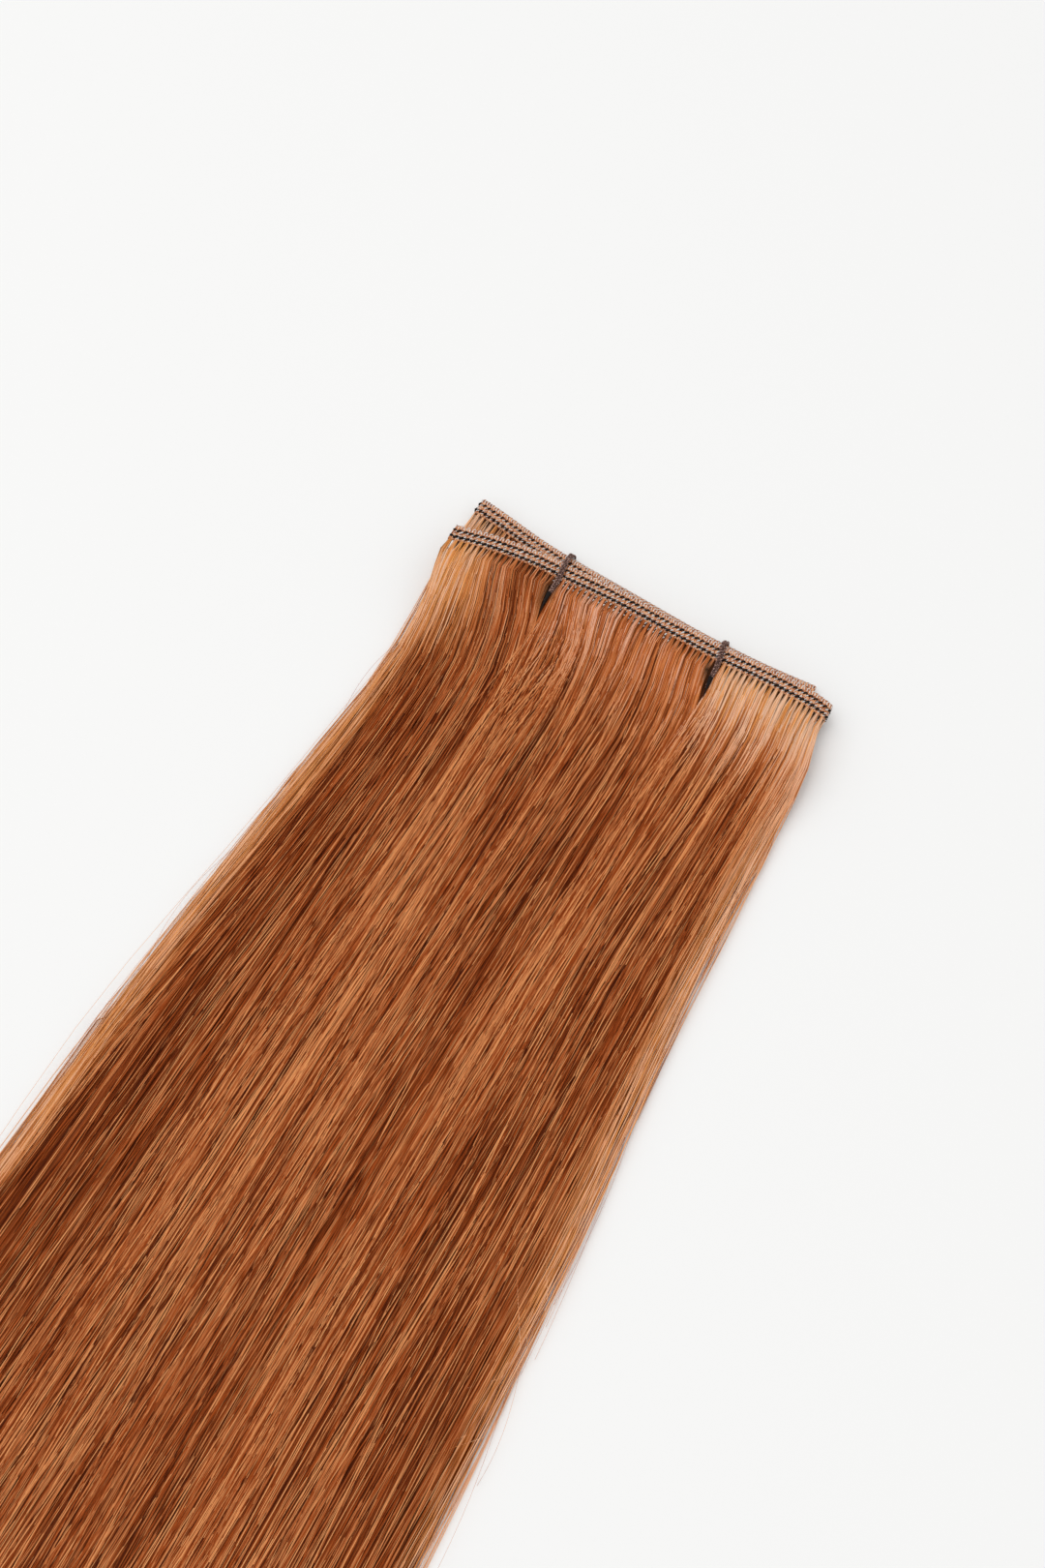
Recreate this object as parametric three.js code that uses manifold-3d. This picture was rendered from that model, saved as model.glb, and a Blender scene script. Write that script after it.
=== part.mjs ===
// A hand-sewn hair weft, folded in three and lying flat.
// One thin sewn band runs to and fro in an S: top panel, middle panel, bottom panel.
// Each panel carries a layer of long straight hair, and two doubled threads hold the fold shut.
// Millimetres, +Z up, the band along X and the hair running towards -Y.
// The origin is on the surface that the weft lies on, under the middle of its outline.
import * as THREE from "three";
import { mergeVertices } from "three/addons/utils/BufferGeometryUtils.js";
import Module from "manifold-3d";

const wasm = await Module();
wasm.setup();

// Driving dimensions
const hairLength = 457; // from the band to the longest tips, 18 inches
const panelWidth = 118; // one panel of the folded band
const bandHeight = 5; // from the band's top edge to where the hair leaves it
const bandThickness = 0.9;
const bandSpacing = 1.1; // free height between two panels of the band where a tie holds them
const hairThickness = 1.9; // one layer of hair where it is fullest
const hairEdgeThickness = 0.5; // the same layer at its sides
const threadDiameter = 0.8; // one of the two strands of a tie
const clearance = 0.3; // between pieces that touch
const floorClearance = 0.2; // under a tie
const tieReach = 8; // from the top panel's lower edge to where a tie goes down through the hair
const partingLength = 7; // how far the hair stays parted past a tie
const partingSlack = 0.5; // hair stands this far clear of a tie on each side
const lockDepth = 0.35; // furrow between two locks
const tipNotch = 14; // how far the locks stay apart at their tips
const settleShare = 0.07; // of the hair length, over which the hair comes down to the surface
const sideFall = 4; // the power by which a layer thins towards its sides

// Counts
const lockCount = 12;
const columnsPerLock = 3;
const panelSteps = 36;
const foldSteps = 6;
const threadSides = 8;
const hullTurnSteps = 3;
const leafSteps = 4;

// Tolerances
const sameLine = 1e-6; // square millimetres of turn that count as straight on
const weldDistance = 1e-4;

// What follows from the driving dimensions
const layerPitch = bandThickness + bandSpacing;
const bottomPanelHeight = floorClearance + threadDiameter + clearance + bandThickness / 2;

// The three panels of the band, from left to right.
// across: share of half the panel width. slip: the top edge, as a share of the band height.
// lift: height over the bottom panel, as a share of the layer pitch.
const topPanel = [
  { across: -0.98, slip: -0.1, lift: 3.2 },
  { across: -0.8, slip: 0.45, lift: 2.75 },
  { across: -0.6, slip: 0.82, lift: 2.3 },
  { across: -0.42, slip: 0.92, lift: 2.0 },
  { across: -0.1, slip: 0.88, lift: 2.2 },
  { across: 0.2, slip: 0.66, lift: 2.15 },
  { across: 0.43, slip: 0.54, lift: 2.0 },
  { across: 0.7, slip: 0.48, lift: 2.3 },
  { across: 0.9, slip: 0.32, lift: 2.45 },
  { across: 0.97, slip: 0.15, lift: 2.45 },
];
const middlePanel = [
  { across: -0.95, slip: 2.62, lift: 1.15 },
  { across: -0.85, slip: 2.42, lift: 1.15 },
  { across: -0.6, slip: 1.88, lift: 1.05 },
  { across: -0.42, slip: 1.62, lift: 1.0 },
  { across: -0.1, slip: 1.25, lift: 1.08 },
  { across: 0.2, slip: 0.92, lift: 1.05 },
  { across: 0.43, slip: 0.74, lift: 1.0 },
  { across: 0.7, slip: 0.55, lift: 0.95 },
  { across: 0.9, slip: 0.25, lift: 0.92 },
  { across: 0.97, slip: 0.08, lift: 0.92 },
];
const bottomPanel = [
  { across: -0.95, slip: 2.74, lift: 0 },
  { across: -0.85, slip: 2.55, lift: 0 },
  { across: -0.6, slip: 2.05, lift: 0 },
  { across: -0.42, slip: 1.86, lift: 0 },
  { across: -0.1, slip: 1.55, lift: 0 },
  { across: 0.3, slip: 1.18, lift: 0 },
  { across: 0.6, slip: 1.1, lift: 0 },
  { across: 0.88, slip: 1.22, lift: 0 },
];

// The outline of the hair. down: share of the hair length below the band.
// left, right: shares of half the panel width. fullness: share of the hair thickness.
const hairOutline = [
  { down: 0.0, left: -0.95, right: 1.0, fullness: 0.6 },
  { down: 0.04, left: -0.935, right: 1.06, fullness: 0.85 },
  { down: 0.09, left: -0.935, right: 1.05, fullness: 1.0 },
  { down: 0.15, left: -0.94, right: 1.065, fullness: 1.0 },
  { down: 0.22, left: -1.0, right: 1.09, fullness: 1.0 },
  { down: 0.31, left: -1.05, right: 1.155, fullness: 0.97 },
  { down: 0.4, left: -1.08, right: 1.215, fullness: 0.93 },
  { down: 0.5, left: -1.12, right: 1.27, fullness: 0.88 },
  { down: 0.65, left: -1.17, right: 1.3, fullness: 0.8 },
  { down: 0.8, left: -1.2, right: 1.3, fullness: 0.68 },
  { down: 0.92, left: -1.18, right: 1.27, fullness: 0.52 },
  { down: 1.0, left: -1.13, right: 1.22, fullness: 0.34 },
];

// Where the stations of a hair layer lie, as shares of each lock's own length
const hairStations = [
  0, 0.012, 0.022, 0.032, 0.042, 0.053, 0.066, 0.082, 0.11, 0.16, 0.23, 0.31, 0.4, 0.5, 0.62, 0.74,
  0.85, 0.93, 0.975, 1,
];

// How much shorter each lock of a layer is, as a share of the hair length
const lockShortfalls = [0.028, 0.006, 0.016, 0, 0.021, 0.009, 0.03, 0.004, 0.018, 0.001, 0.013, 0.033];

// Each layer of hair, bottom first. inset: how far its sides lie inside the outline, as a share
// of half the panel width. shortfallStart: the lock at which it starts reading the shortfalls.
const hairLayers = [
  { name: "hair_bottom_layer", panel: bottomPanel, inset: 0, shortfallStart: 0 },
  { name: "hair_middle_layer", panel: middlePanel, inset: 0.012, shortfallStart: 5 },
  { name: "hair_top_layer", panel: topPanel, inset: 0.028, shortfallStart: 9 },
];

// The ties. across: share of half the panel width where it crosses the band's top edge.
// lean: sideways run for each millimetre that it goes down the hair.
const ties = [
  { name: "tie_thread_left", across: -0.435, lean: 0.07 },
  { name: "tie_thread_right", across: 0.42, lean: 0.14 },
];

// Materials
const bandMaterial = new THREE.MeshStandardMaterial({ color: 0xc08a6c, roughness: 0.45, metalness: 0 });
const hairMaterial = new THREE.MeshStandardMaterial({ color: 0xa85a2c, roughness: 0.4, metalness: 0 });
const threadMaterial = new THREE.MeshStandardMaterial({ color: 0x3a2524, roughness: 0.7, metalness: 0 });

const mix = (a, b, share) => a + (b - a) * share;

const smooth = (value, from, to) => THREE.MathUtils.smoothstep(value, from, to);

// One column of a table as a smooth function of another, by Hermite pieces through the rows.
function readTable(rows, key, column, at) {
  const last = rows.length - 1;
  const place = THREE.MathUtils.clamp(at, rows[0][key], rows[last][key]);
  const next = Math.max(1, rows.findIndex((row) => row[key] >= place));
  const slopeAt = (i) => {
    const before = rows[Math.max(0, i - 1)];
    const after = rows[Math.min(last, i + 1)];
    return (after[column] - before[column]) / (after[key] - before[key]);
  };
  const [start, end] = [rows[next - 1], rows[next]];
  const span = end[key] - start[key];
  const t = (place - start[key]) / span;
  const [t2, t3] = [t * t, t * t * t];
  return (
    (2 * t3 - 3 * t2 + 1) * start[column] +
    (t3 - 2 * t2 + t) * span * slopeAt(next - 1) +
    (3 * t2 - 2 * t3) * end[column] +
    (t3 - t2) * span * slopeAt(next)
  );
}

// The band at a place across one panel: its middle in x and z, and its top edge in y.
function bandAt(panel, across) {
  return {
    x: (across * panelWidth) / 2,
    top: readTable(panel, "across", "slip", across) * bandHeight,
    z: bottomPanelHeight + readTable(panel, "across", "lift", across) * layerPitch,
  };
}

function bandAtX(panel, x) {
  return bandAt(panel, (2 * x) / panelWidth);
}

// One panel from its left end to its right, or back.
function panelPath(panel, leftToRight) {
  const [first, last] = [panel[0].across, panel.at(-1).across];
  const path = [];
  for (let i = 0; i <= panelSteps; i++) path.push(bandAt(panel, mix(first, last, i / panelSteps)));
  return leftToRight ? path : path.reverse();
}

// The turn between two panels, bulging to the side that it is on.
function foldPath(from, to, side) {
  const radius = Math.abs(from.z - to.z) / 2;
  const path = [];
  for (let i = 1; i < foldSteps; i++) {
    const turn = (Math.PI * i) / foldSteps;
    path.push({
      x: mix(from.x, to.x, i / foldSteps) + side * radius * Math.sin(turn),
      top: mix(from.top, to.top, i / foldSteps),
      z: (from.z + to.z) / 2 + Math.sign(from.z - to.z) * radius * Math.cos(turn),
    });
  }
  return path;
}

function bandPath() {
  const top = panelPath(topPanel, true);
  const middle = panelPath(middlePanel, false);
  const bottom = panelPath(bottomPanel, true);
  return [
    ...top,
    ...foldPath(top.at(-1), middle[0], 1),
    ...middle,
    ...foldPath(middle.at(-1), bottom[0], -1),
    ...bottom,
  ];
}

// A closed skin over rings of points that all have the same number of points.
// A ring runs anticlockwise seen from the end that the rings lead to.
function skin(rings, closesOnItself) {
  const positions = rings.flat().flatMap((p) => [p.x, p.y, p.z]);
  const count = rings[0].length;
  const index = [];
  const spans = closesOnItself ? rings.length : rings.length - 1;
  for (let i = 0; i < spans; i++) {
    const [here, next] = [i * count, ((i + 1) % rings.length) * count];
    for (let j = 0; j < count; j++) {
      const k = (j + 1) % count;
      index.push(here + j, here + k, next + k, here + j, next + k, next + j);
    }
  }
  if (!closesOnItself) {
    const end = (rings.length - 1) * count;
    for (let j = 1; j < count - 1; j++) {
      index.push(0, j + 1, j);
      index.push(end, end + j, end + j + 1);
    }
  }
  const geometry = new THREE.BufferGeometry();
  geometry.setAttribute("position", new THREE.Float32BufferAttribute(positions, 3));
  geometry.setIndex(index);
  return geometry;
}

// The sewn band as one ribbon, its section square to its own path.
function bandGeometry() {
  const path = bandPath();
  const rings = path.map((p, i) => {
    const before = path[Math.max(0, i - 1)];
    const after = path[Math.min(path.length - 1, i + 1)];
    const run = new THREE.Vector2(after.x - before.x, after.z - before.z).normalize();
    const [dx, dz] = [(-run.y * bandThickness) / 2, (run.x * bandThickness) / 2];
    const low = p.top - bandHeight;
    return [
      new THREE.Vector3(p.x - dx, low, p.z - dz),
      new THREE.Vector3(p.x - dx, p.top, p.z - dz),
      new THREE.Vector3(p.x + dx, p.top, p.z + dz),
      new THREE.Vector3(p.x + dx, low, p.z + dz),
    ];
  });
  return skin(rings, false);
}

// Where a tie goes down through the hair
function tiePassing(tie) {
  const x = (tie.across * panelWidth) / 2;
  const band = bandAtX(topPanel, x);
  const y = band.top - bandHeight - tieReach;
  return { x: x + tie.lean * (band.top - y), y };
}

// The hair keeps the height of the band down to here, and has settled on the surface at the end.
const settleStart = Math.min(...ties.map((tie) => tiePassing(tie).y)) - threadDiameter - clearance;
const settleEnd = settleStart - settleShare * hairLength;

// The sides of all the hair at a distance below the band.
function sidesAt(y) {
  const down = -y / hairLength;
  const read = (column) => readTable(hairOutline, "down", column, down);
  const half = panelWidth / 2;
  return { left: read("left") * half, right: read("right") * half, fullness: read("fullness") };
}

// The lower and upper surface of one layer of hair over a point of the plan.
function layerHeights(layer, x, y) {
  const { left, right, fullness } = sidesAt(y);
  const across = THREE.MathUtils.clamp((2 * x - left - right) / (right - left), -1, 1);
  const thickness = mix(hairEdgeThickness, hairThickness, 1 - Math.abs(across) ** sideFall) * fullness;
  const number = hairLayers.indexOf(layer);
  const pileLow = number * (thickness + clearance);
  const band = bandAtX(layer.panel, x).z;
  const settled = smooth(-y, -settleStart, -settleEnd);
  return {
    low: mix(band - bandThickness / 2, pileLow, settled),
    high: mix(band + bandThickness / 2, pileLow + thickness, settled),
  };
}

// One layer of hair: a thin backing, furrowed into locks on its upper side, its tips apart.
function hairGeometry(layer) {
  const columns = lockCount * columnsPerLock;
  const panel = layer.panel;
  const inset = (layer.inset * panelWidth) / 2;
  const rings = hairStations.map((station) => {
    const upper = [];
    const lower = [];
    for (let i = 0; i <= columns; i++) {
      const share = i / columns;
      const lock = Math.min(lockCount - 1, Math.floor(i / columnsPerLock));
      const besideLock = i % columnsPerLock === 0;
      const band = bandAt(panel, mix(panel[0].across, panel.at(-1).across, share));
      const root = band.top - bandHeight - clearance;
      const shortfall = lockShortfalls[(lock + layer.shortfallStart) % lockShortfalls.length];
      const tip = -hairLength * (1 - shortfall) + (besideLock ? tipNotch : 0);
      const y = mix(root, tip, station);
      const { left, right } = sidesAt(y);
      const gathered = smooth(-y, 0, -settleEnd);
      const x = mix(band.x, mix(left + inset, right - inset, share), gathered);
      const { low, high } = layerHeights(layer, x, y);
      const furrow = besideLock ? Math.min(lockDepth, (high - low) / 2) : 0;
      upper.push(new THREE.Vector3(x, y, high - furrow * gathered));
      lower.push(new THREE.Vector3(x, y, low));
    }
    return [...lower, ...upper.reverse()];
  });
  return gridSkin(rings, columns);
}

// A skin like the one above, whose two ends are closed strip by strip.
function gridSkin(rings, columns) {
  const sides = skin(rings, false);
  const count = rings[0].length;
  const wall = Array.from(sides.index.array).slice(0, (rings.length - 1) * count * 6);
  const end = (rings.length - 1) * count;
  for (let i = 0; i < columns; i++) {
    const [low, lowNext, high, highNext] = [i, i + 1, count - 1 - i, count - 2 - i];
    wall.push(low, high, highNext, low, highNext, lowNext);
    wall.push(end + low, end + highNext, end + high, end + low, end + lowNext, end + highNext);
  }
  sides.setIndex(wall);
  return sides;
}

// The corners of what a tie is drawn round, in the plane of y and z.
function tiedCorners(tie) {
  const passing = tiePassing(tie);
  const corners = [];
  for (const layer of hairLayers) {
    for (const x of [(tie.across * panelWidth) / 2, passing.x]) {
      const band = bandAtX(layer.panel, x);
      for (const z of [band.z - bandThickness / 2, band.z + bandThickness / 2])
        corners.push(
          new THREE.Vector2(band.top, z),
          new THREE.Vector2(band.top - bandHeight, z),
          new THREE.Vector2(passing.y, z),
        );
    }
  }
  return corners;
}

// The convex outline of points in a plane, anticlockwise.
function convexOutline(points) {
  const sorted = [...points].sort((a, b) => a.x - b.x || a.y - b.y);
  const turn = (o, a, b) => (a.x - o.x) * (b.y - o.y) - (a.y - o.y) * (b.x - o.x);
  const chain = (list) => {
    const kept = [];
    for (const p of list) {
      while (kept.length > 1 && turn(kept.at(-2), kept.at(-1), p) <= sameLine) kept.pop();
      kept.push(p);
    }
    return kept.slice(0, -1);
  };
  return [...chain(sorted), ...chain(sorted.reverse())];
}

// The line that a tight thread takes round an outline, at a distance from it.
function tightLoop(outline, distance) {
  const loop = [];
  outline.forEach((corner, i) => {
    const before = outline.at(i - 1);
    const after = outline[(i + 1) % outline.length];
    const outward = (a, b) => Math.atan2(-(b.x - a.x), b.y - a.y);
    const from = outward(before, corner);
    const turn = THREE.MathUtils.euclideanModulo(outward(corner, after) - from, 2 * Math.PI);
    for (let step = 0; step <= hullTurnSteps; step++) {
      const angle = from + (turn * step) / hullTurnSteps;
      const away = new THREE.Vector2(Math.cos(angle), Math.sin(angle)).multiplyScalar(distance);
      loop.push(away.add(corner));
    }
  });
  return loop;
}

// A tie: two strands side by side, as one flat oval section round the folded band.
function tieGeometry(tie) {
  const start = (tie.across * panelWidth) / 2;
  const topEdge = bandAtX(topPanel, start).top;
  const line = tightLoop(convexOutline(tiedCorners(tie)), clearance + threadDiameter / 2);
  const rings = line.map((p, i) => {
    const before = line.at(i - 1);
    const after = line[(i + 1) % line.length];
    const run = new THREE.Vector2(after.x - before.x, after.y - before.y).normalize();
    const x = start + tie.lean * (topEdge - p.x);
    const ring = [];
    for (let j = 0; j < threadSides; j++) {
      const angle = (2 * Math.PI * (j + 0.5)) / threadSides;
      const aside = threadDiameter * Math.cos(angle);
      const out = (threadDiameter / 2) * Math.sin(angle);
      ring.push(new THREE.Vector3(x + aside, p.x + run.y * out, p.y - run.x * out));
    }
    return ring;
  });
  return skin(rings, true);
}

// The leaf-shaped gap where the hair parts round a tie. It runs out past every layer, up and down.
function partingSolid(tie) {
  const { x, y } = tiePassing(tie);
  const half = threadDiameter + partingSlack;
  const above = y + tieReach;
  const below = y - partingLength;
  const leaf = new THREE.Shape();
  leaf.moveTo(x - tie.lean * tieReach, above);
  leaf.quadraticCurveTo(x - half, y + half, x - half, y - threadDiameter);
  leaf.quadraticCurveTo(x - half, mix(y, below, 0.5), x, below);
  leaf.quadraticCurveTo(x + half, mix(y, below, 0.5), x + half, y - threadDiameter);
  leaf.quadraticCurveTo(x + half, y + half, x - tie.lean * tieReach, above);
  const depth = 2 * hairLayers.length * (layerPitch + hairThickness);
  const prism = new THREE.ExtrudeGeometry(leaf, { depth, bevelEnabled: false, curveSegments: leafSteps });
  return prism.translate(0, 0, -depth / 4);
}

function toManifold(geometry) {
  const bare = geometry.clone();
  bare.deleteAttribute("normal");
  bare.deleteAttribute("uv");
  const merged = mergeVertices(bare, weldDistance);
  return new wasm.Manifold(
    new wasm.Mesh({
      numProp: 3,
      vertProperties: new Float32Array(merged.attributes.position.array),
      triVerts: new Uint32Array(merged.index.array),
    }),
  );
}

function fromManifold(solid) {
  const mesh = solid.getMesh();
  const geometry = new THREE.BufferGeometry();
  geometry.setAttribute("position", new THREE.BufferAttribute(mesh.vertProperties, 3));
  geometry.setIndex(new THREE.BufferAttribute(mesh.triVerts, 1));
  geometry.computeVertexNormals();
  return geometry;
}

function partedHairGeometry(layer) {
  let hair = toManifold(hairGeometry(layer));
  for (const tie of ties) hair = hair.subtract(toManifold(partingSolid(tie)));
  return fromManifold(hair);
}

function namedMesh(name, geometry, material) {
  geometry.computeVertexNormals();
  const mesh = new THREE.Mesh(geometry, material);
  mesh.name = name;
  return mesh;
}

const weft = new THREE.Group();
weft.add(namedMesh("weft_band", bandGeometry(), bandMaterial));
for (const layer of hairLayers) weft.add(namedMesh(layer.name, partedHairGeometry(layer), hairMaterial));
for (const tie of ties) weft.add(namedMesh(tie.name, tieGeometry(tie), threadMaterial));

// The origin goes under the middle of the outline.
const outline = new THREE.Box3().setFromObject(weft, true);
const centre = outline.getCenter(new THREE.Vector3());
weft.position.set(-centre.x, -centre.y, -outline.min.z);

export default weft;
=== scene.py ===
"""A folded hair weft lying flat on a pale table.

One sewn band runs to and fro in three panels. Each panel carries a layer of long straight hair,
and two doubled threads hold the fold shut. The band and the hair follow the same sizes and tables
as the solids of the frame, so every strand lies where its solid lies.
"""
import math
from functools import partial

import bpy
import numpy as np
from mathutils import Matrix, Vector


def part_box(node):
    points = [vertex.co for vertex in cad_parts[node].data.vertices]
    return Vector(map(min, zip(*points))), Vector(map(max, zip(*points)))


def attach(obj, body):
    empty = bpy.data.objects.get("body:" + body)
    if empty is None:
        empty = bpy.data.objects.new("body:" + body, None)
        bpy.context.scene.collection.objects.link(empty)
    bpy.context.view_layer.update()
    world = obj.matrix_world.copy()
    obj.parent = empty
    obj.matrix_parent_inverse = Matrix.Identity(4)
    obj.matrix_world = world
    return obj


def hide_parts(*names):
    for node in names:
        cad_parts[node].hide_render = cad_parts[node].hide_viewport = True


bl_info = {
    "name": "Folded hair weft",
    "version": (1, 0, 0),
    "blender": (4, 5, 0),
    "location": "View3D > Sidebar > Hair weft",
    "description": "Builds a folded hair weft strand by strand round its solids",
    "category": "Add Mesh",
}

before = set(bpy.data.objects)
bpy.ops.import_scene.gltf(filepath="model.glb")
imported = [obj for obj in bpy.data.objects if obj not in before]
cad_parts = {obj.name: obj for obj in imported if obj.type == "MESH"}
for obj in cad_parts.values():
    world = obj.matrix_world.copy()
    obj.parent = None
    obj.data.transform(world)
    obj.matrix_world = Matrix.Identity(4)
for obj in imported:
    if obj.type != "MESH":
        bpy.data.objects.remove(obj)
bpy.ops.object.select_all(action="DESELECT")
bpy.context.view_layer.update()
MM = 0.001
TABLE_SIZE = 6.0
ROOM_LIGHT = 0.68
LIGHTS = [
    {"name": "window", "place": (-2.0, 0.1, 3.2), "size": 3.6, "power": 34.0},
    {"name": "ceiling", "place": (-0.2, -0.3, 4.0), "size": 2.8, "power": 32.0},
]


def table(names, *rows):
    """A table as its columns, by name."""
    return dict(zip(names.split(), np.array(rows, float).T))


# The three panels of the band, from left to right. across: share of half the panel width.
# slip: the top edge, as a share of the band height. lift: height over the bottom panel, as a
# share of the distance between two panels.
TOP_PANEL = table(
    "across slip lift",
    (-0.98, -0.1, 3.2),
    (-0.8, 0.45, 2.75),
    (-0.6, 0.82, 2.3),
    (-0.42, 0.92, 2.0),
    (-0.1, 0.88, 2.2),
    (0.2, 0.66, 2.15),
    (0.43, 0.54, 2.0),
    (0.7, 0.48, 2.3),
    (0.9, 0.32, 2.45),
    (0.97, 0.15, 2.45),
)
MIDDLE_PANEL = table(
    "across slip lift",
    (-0.95, 2.62, 1.15),
    (-0.85, 2.42, 1.15),
    (-0.6, 1.88, 1.05),
    (-0.42, 1.62, 1.0),
    (-0.1, 1.25, 1.08),
    (0.2, 0.92, 1.05),
    (0.43, 0.74, 1.0),
    (0.7, 0.55, 0.95),
    (0.9, 0.25, 0.92),
    (0.97, 0.08, 0.92),
)
BOTTOM_PANEL = table(
    "across slip lift",
    (-0.95, 2.74, 0),
    (-0.85, 2.55, 0),
    (-0.6, 2.05, 0),
    (-0.42, 1.86, 0),
    (-0.1, 1.55, 0),
    (0.3, 1.18, 0),
    (0.6, 1.1, 0),
    (0.88, 1.22, 0),
)

# The outline of the hair. down: share of the hair length below the band. left, right: shares of
# half the panel width. fullness: share of the hair thickness.
HAIR_OUTLINE = table(
    "down left right fullness",
    (0.0, -0.95, 1.0, 0.6),
    (0.04, -0.935, 1.06, 0.85),
    (0.09, -0.935, 1.05, 1.0),
    (0.15, -0.94, 1.065, 1.0),
    (0.22, -1.0, 1.09, 1.0),
    (0.31, -1.05, 1.155, 0.97),
    (0.4, -1.08, 1.215, 0.93),
    (0.5, -1.12, 1.27, 0.88),
    (0.65, -1.17, 1.3, 0.8),
    (0.8, -1.2, 1.3, 0.68),
    (0.92, -1.18, 1.27, 0.52),
    (1.0, -1.13, 1.22, 0.34),
)

# The guide strands of the top layer, by their place across it. From straight down, each runs off to
# the right by these shares of the panel width, at the distances down the hair in GUIDE_STATIONS.
# All of them still run straight down at STRAIGHT_ROOT.
TOP_GUIDES = table(
    "share at_ties past_ties settled far tip",
    (0.0, 0.025, 0.03, 0.003, -0.034, -0.06),
    (0.05, 0.015, 0.034, 0.021, -0.04, -0.06),
    (0.12, 0.04, 0.073, 0.072, 0.056, 0.05),
    (0.23, 0.044, 0.08, 0.09, 0.07, 0.065),
    (0.28, 0.024, 0.05, 0.062, 0.03, 0.035),
    (0.34, 0.042, 0.066, 0.072, 0.066, 0.068),
    (0.43, 0.03, 0.048, 0.052, 0.052, 0.055),
    (0.5, 0.018, 0.024, 0.014, 0.012, 0.022),
    (0.57, 0.022, 0.034, 0.02, 0.01, 0.024),
    (0.68, 0.025, 0.036, 0.042, 0.044, 0.056),
    (0.74, 0.016, 0.02, 0.002, 0, 0.015),
    (0.85, 0.011, 0.005, -0.008, 0.005, 0.022),
    (0.96, 0.012, 0.008, 0.01, 0.034, 0.055),
    (1.0, 0.025, 0.025, 0.042, 0.093, 0.1),
)
STRAIGHT_ROOT = 6 * MM
GUIDE_STATIONS = {
    "at_ties": 20 * MM, "past_ties": 42 * MM, "settled": 100 * MM, "far": 180 * MM, "tip": 457 * MM,
}

# How much shorter each lock of a layer is, as a share of the hair length
LOCK_SHORTFALLS = [0.028, 0.006, 0.016, 0, 0.021, 0.009, 0.03, 0.004, 0.018, 0.001, 0.013, 0.033]

# Each layer of hair, bottom first. inset: how far its sides lie inside the outline, as a share
# of half the panel width. first_shortfall: the lock at which it starts reading the shortfalls.
LAYERS = [
    {"node": "hair_bottom_layer", "panel": BOTTOM_PANEL, "inset": 0, "first_shortfall": 0},
    {"node": "hair_middle_layer", "panel": MIDDLE_PANEL, "inset": 0.012, "first_shortfall": 5},
    {"node": "hair_top_layer", "panel": TOP_PANEL, "inset": 0.028, "first_shortfall": 9},
]
BOTTOM, MIDDLE, TOP = range(3)

# The ties. across: share of half the panel width where a tie crosses the band's top edge.
# lean: sideways run for each unit that it goes down the hair. hollow: how far the hair left of it
# is pushed aside. pocket: painted shade, a dark place in the hair left of where the tie dives and
# above it. The hollow and the pocket are in millimetres.
TIES = [
    {
        "node": "tie_thread_left", "across": -0.435, "lean": 0.07, "hollow": 0.5,
        "pocket_aside": 1.1, "pocket_above": 2.4, "pocket_width": 1.5, "pocket_height": 3.4,
    },
    {
        "node": "tie_thread_right", "across": 0.42, "lean": 0.14, "hollow": 0.1,
        "pocket_aside": 2.0, "pocket_above": 4.0, "pocket_width": 1.1, "pocket_height": 2.2,
    },
]

HAIR_SLOT = "hair"
BAND_SLOT = "sewn_band"
TIE_SLOT = "tie_thread"


def linear(hex_colour):
    """An sRGB hex colour as linear red, green and blue."""
    channels = [int(hex_colour[i : i + 2], 16) / 255 for i in (1, 3, 5)]
    return tuple(c / 12.92 if c <= 0.04045 else ((c + 0.055) / 1.055) ** 2.4 for c in channels)


def length_property(name, description, default):
    return bpy.props.FloatProperty(
        name=name, description=description, default=default, min=0.0, precision=5, unit="LENGTH"
    )


def colour_property(name, description, hex_colour):
    return bpy.props.FloatVectorProperty(
        name=name, description=description, default=linear(hex_colour), size=3, subtype="COLOR",
        min=0.0, max=1.0,
    )


class WeftSizes(bpy.types.PropertyGroup):
    hair_length: length_property("Hair length", "From the band to the longest tips", 457 * MM)
    panel_width: length_property("Panel width", "One panel of the folded band", 118 * MM)
    band_height: length_property("Band height", "From the band's top edge to the hair", 5 * MM)
    band_thickness: length_property("Band thickness", "Over its stitches", 0.9 * MM)
    band_spacing: length_property("Band spacing", "Free height between two panels", 1.1 * MM)
    hair_thickness: length_property("Hair thickness", "One layer at its fullest", 1.9 * MM)
    hair_edge_thickness: length_property("Edge thickness", "One layer at its sides", 0.5 * MM)
    thread_diameter: length_property("Tie diameter", "One of a tie's two cords", 0.8 * MM)
    clearance: length_property("Clearance", "Between pieces that touch", 0.3 * MM)
    floor_clearance: length_property("Floor clearance", "Under a tie", 0.2 * MM)
    tie_reach: length_property("Tie reach", "From the band down to where a tie dives", 8 * MM)
    parting_length: length_property("Parting length", "Hair stays parted past a tie", 7 * MM)
    tip_notch: length_property("Tip notch", "How far the locks stay apart", 14 * MM)
    strand_diameter: length_property("Strand diameter", "A few hairs lying together", 0.34 * MM)
    stitch_pitch: length_property("Stitch pitch", "From one stitch to the next", 1.6 * MM)
    upper_margin: length_property("Upper margin", "Top edge to the upper seam", 1.8 * MM)
    seam_spacing: length_property("Seam spacing", "Upper seam to the lower one", 2.1 * MM)
    settle_share: bpy.props.FloatProperty(
        name="Settling", description="Share of the hair length over which it comes to rest", default=0.07
    )


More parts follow.
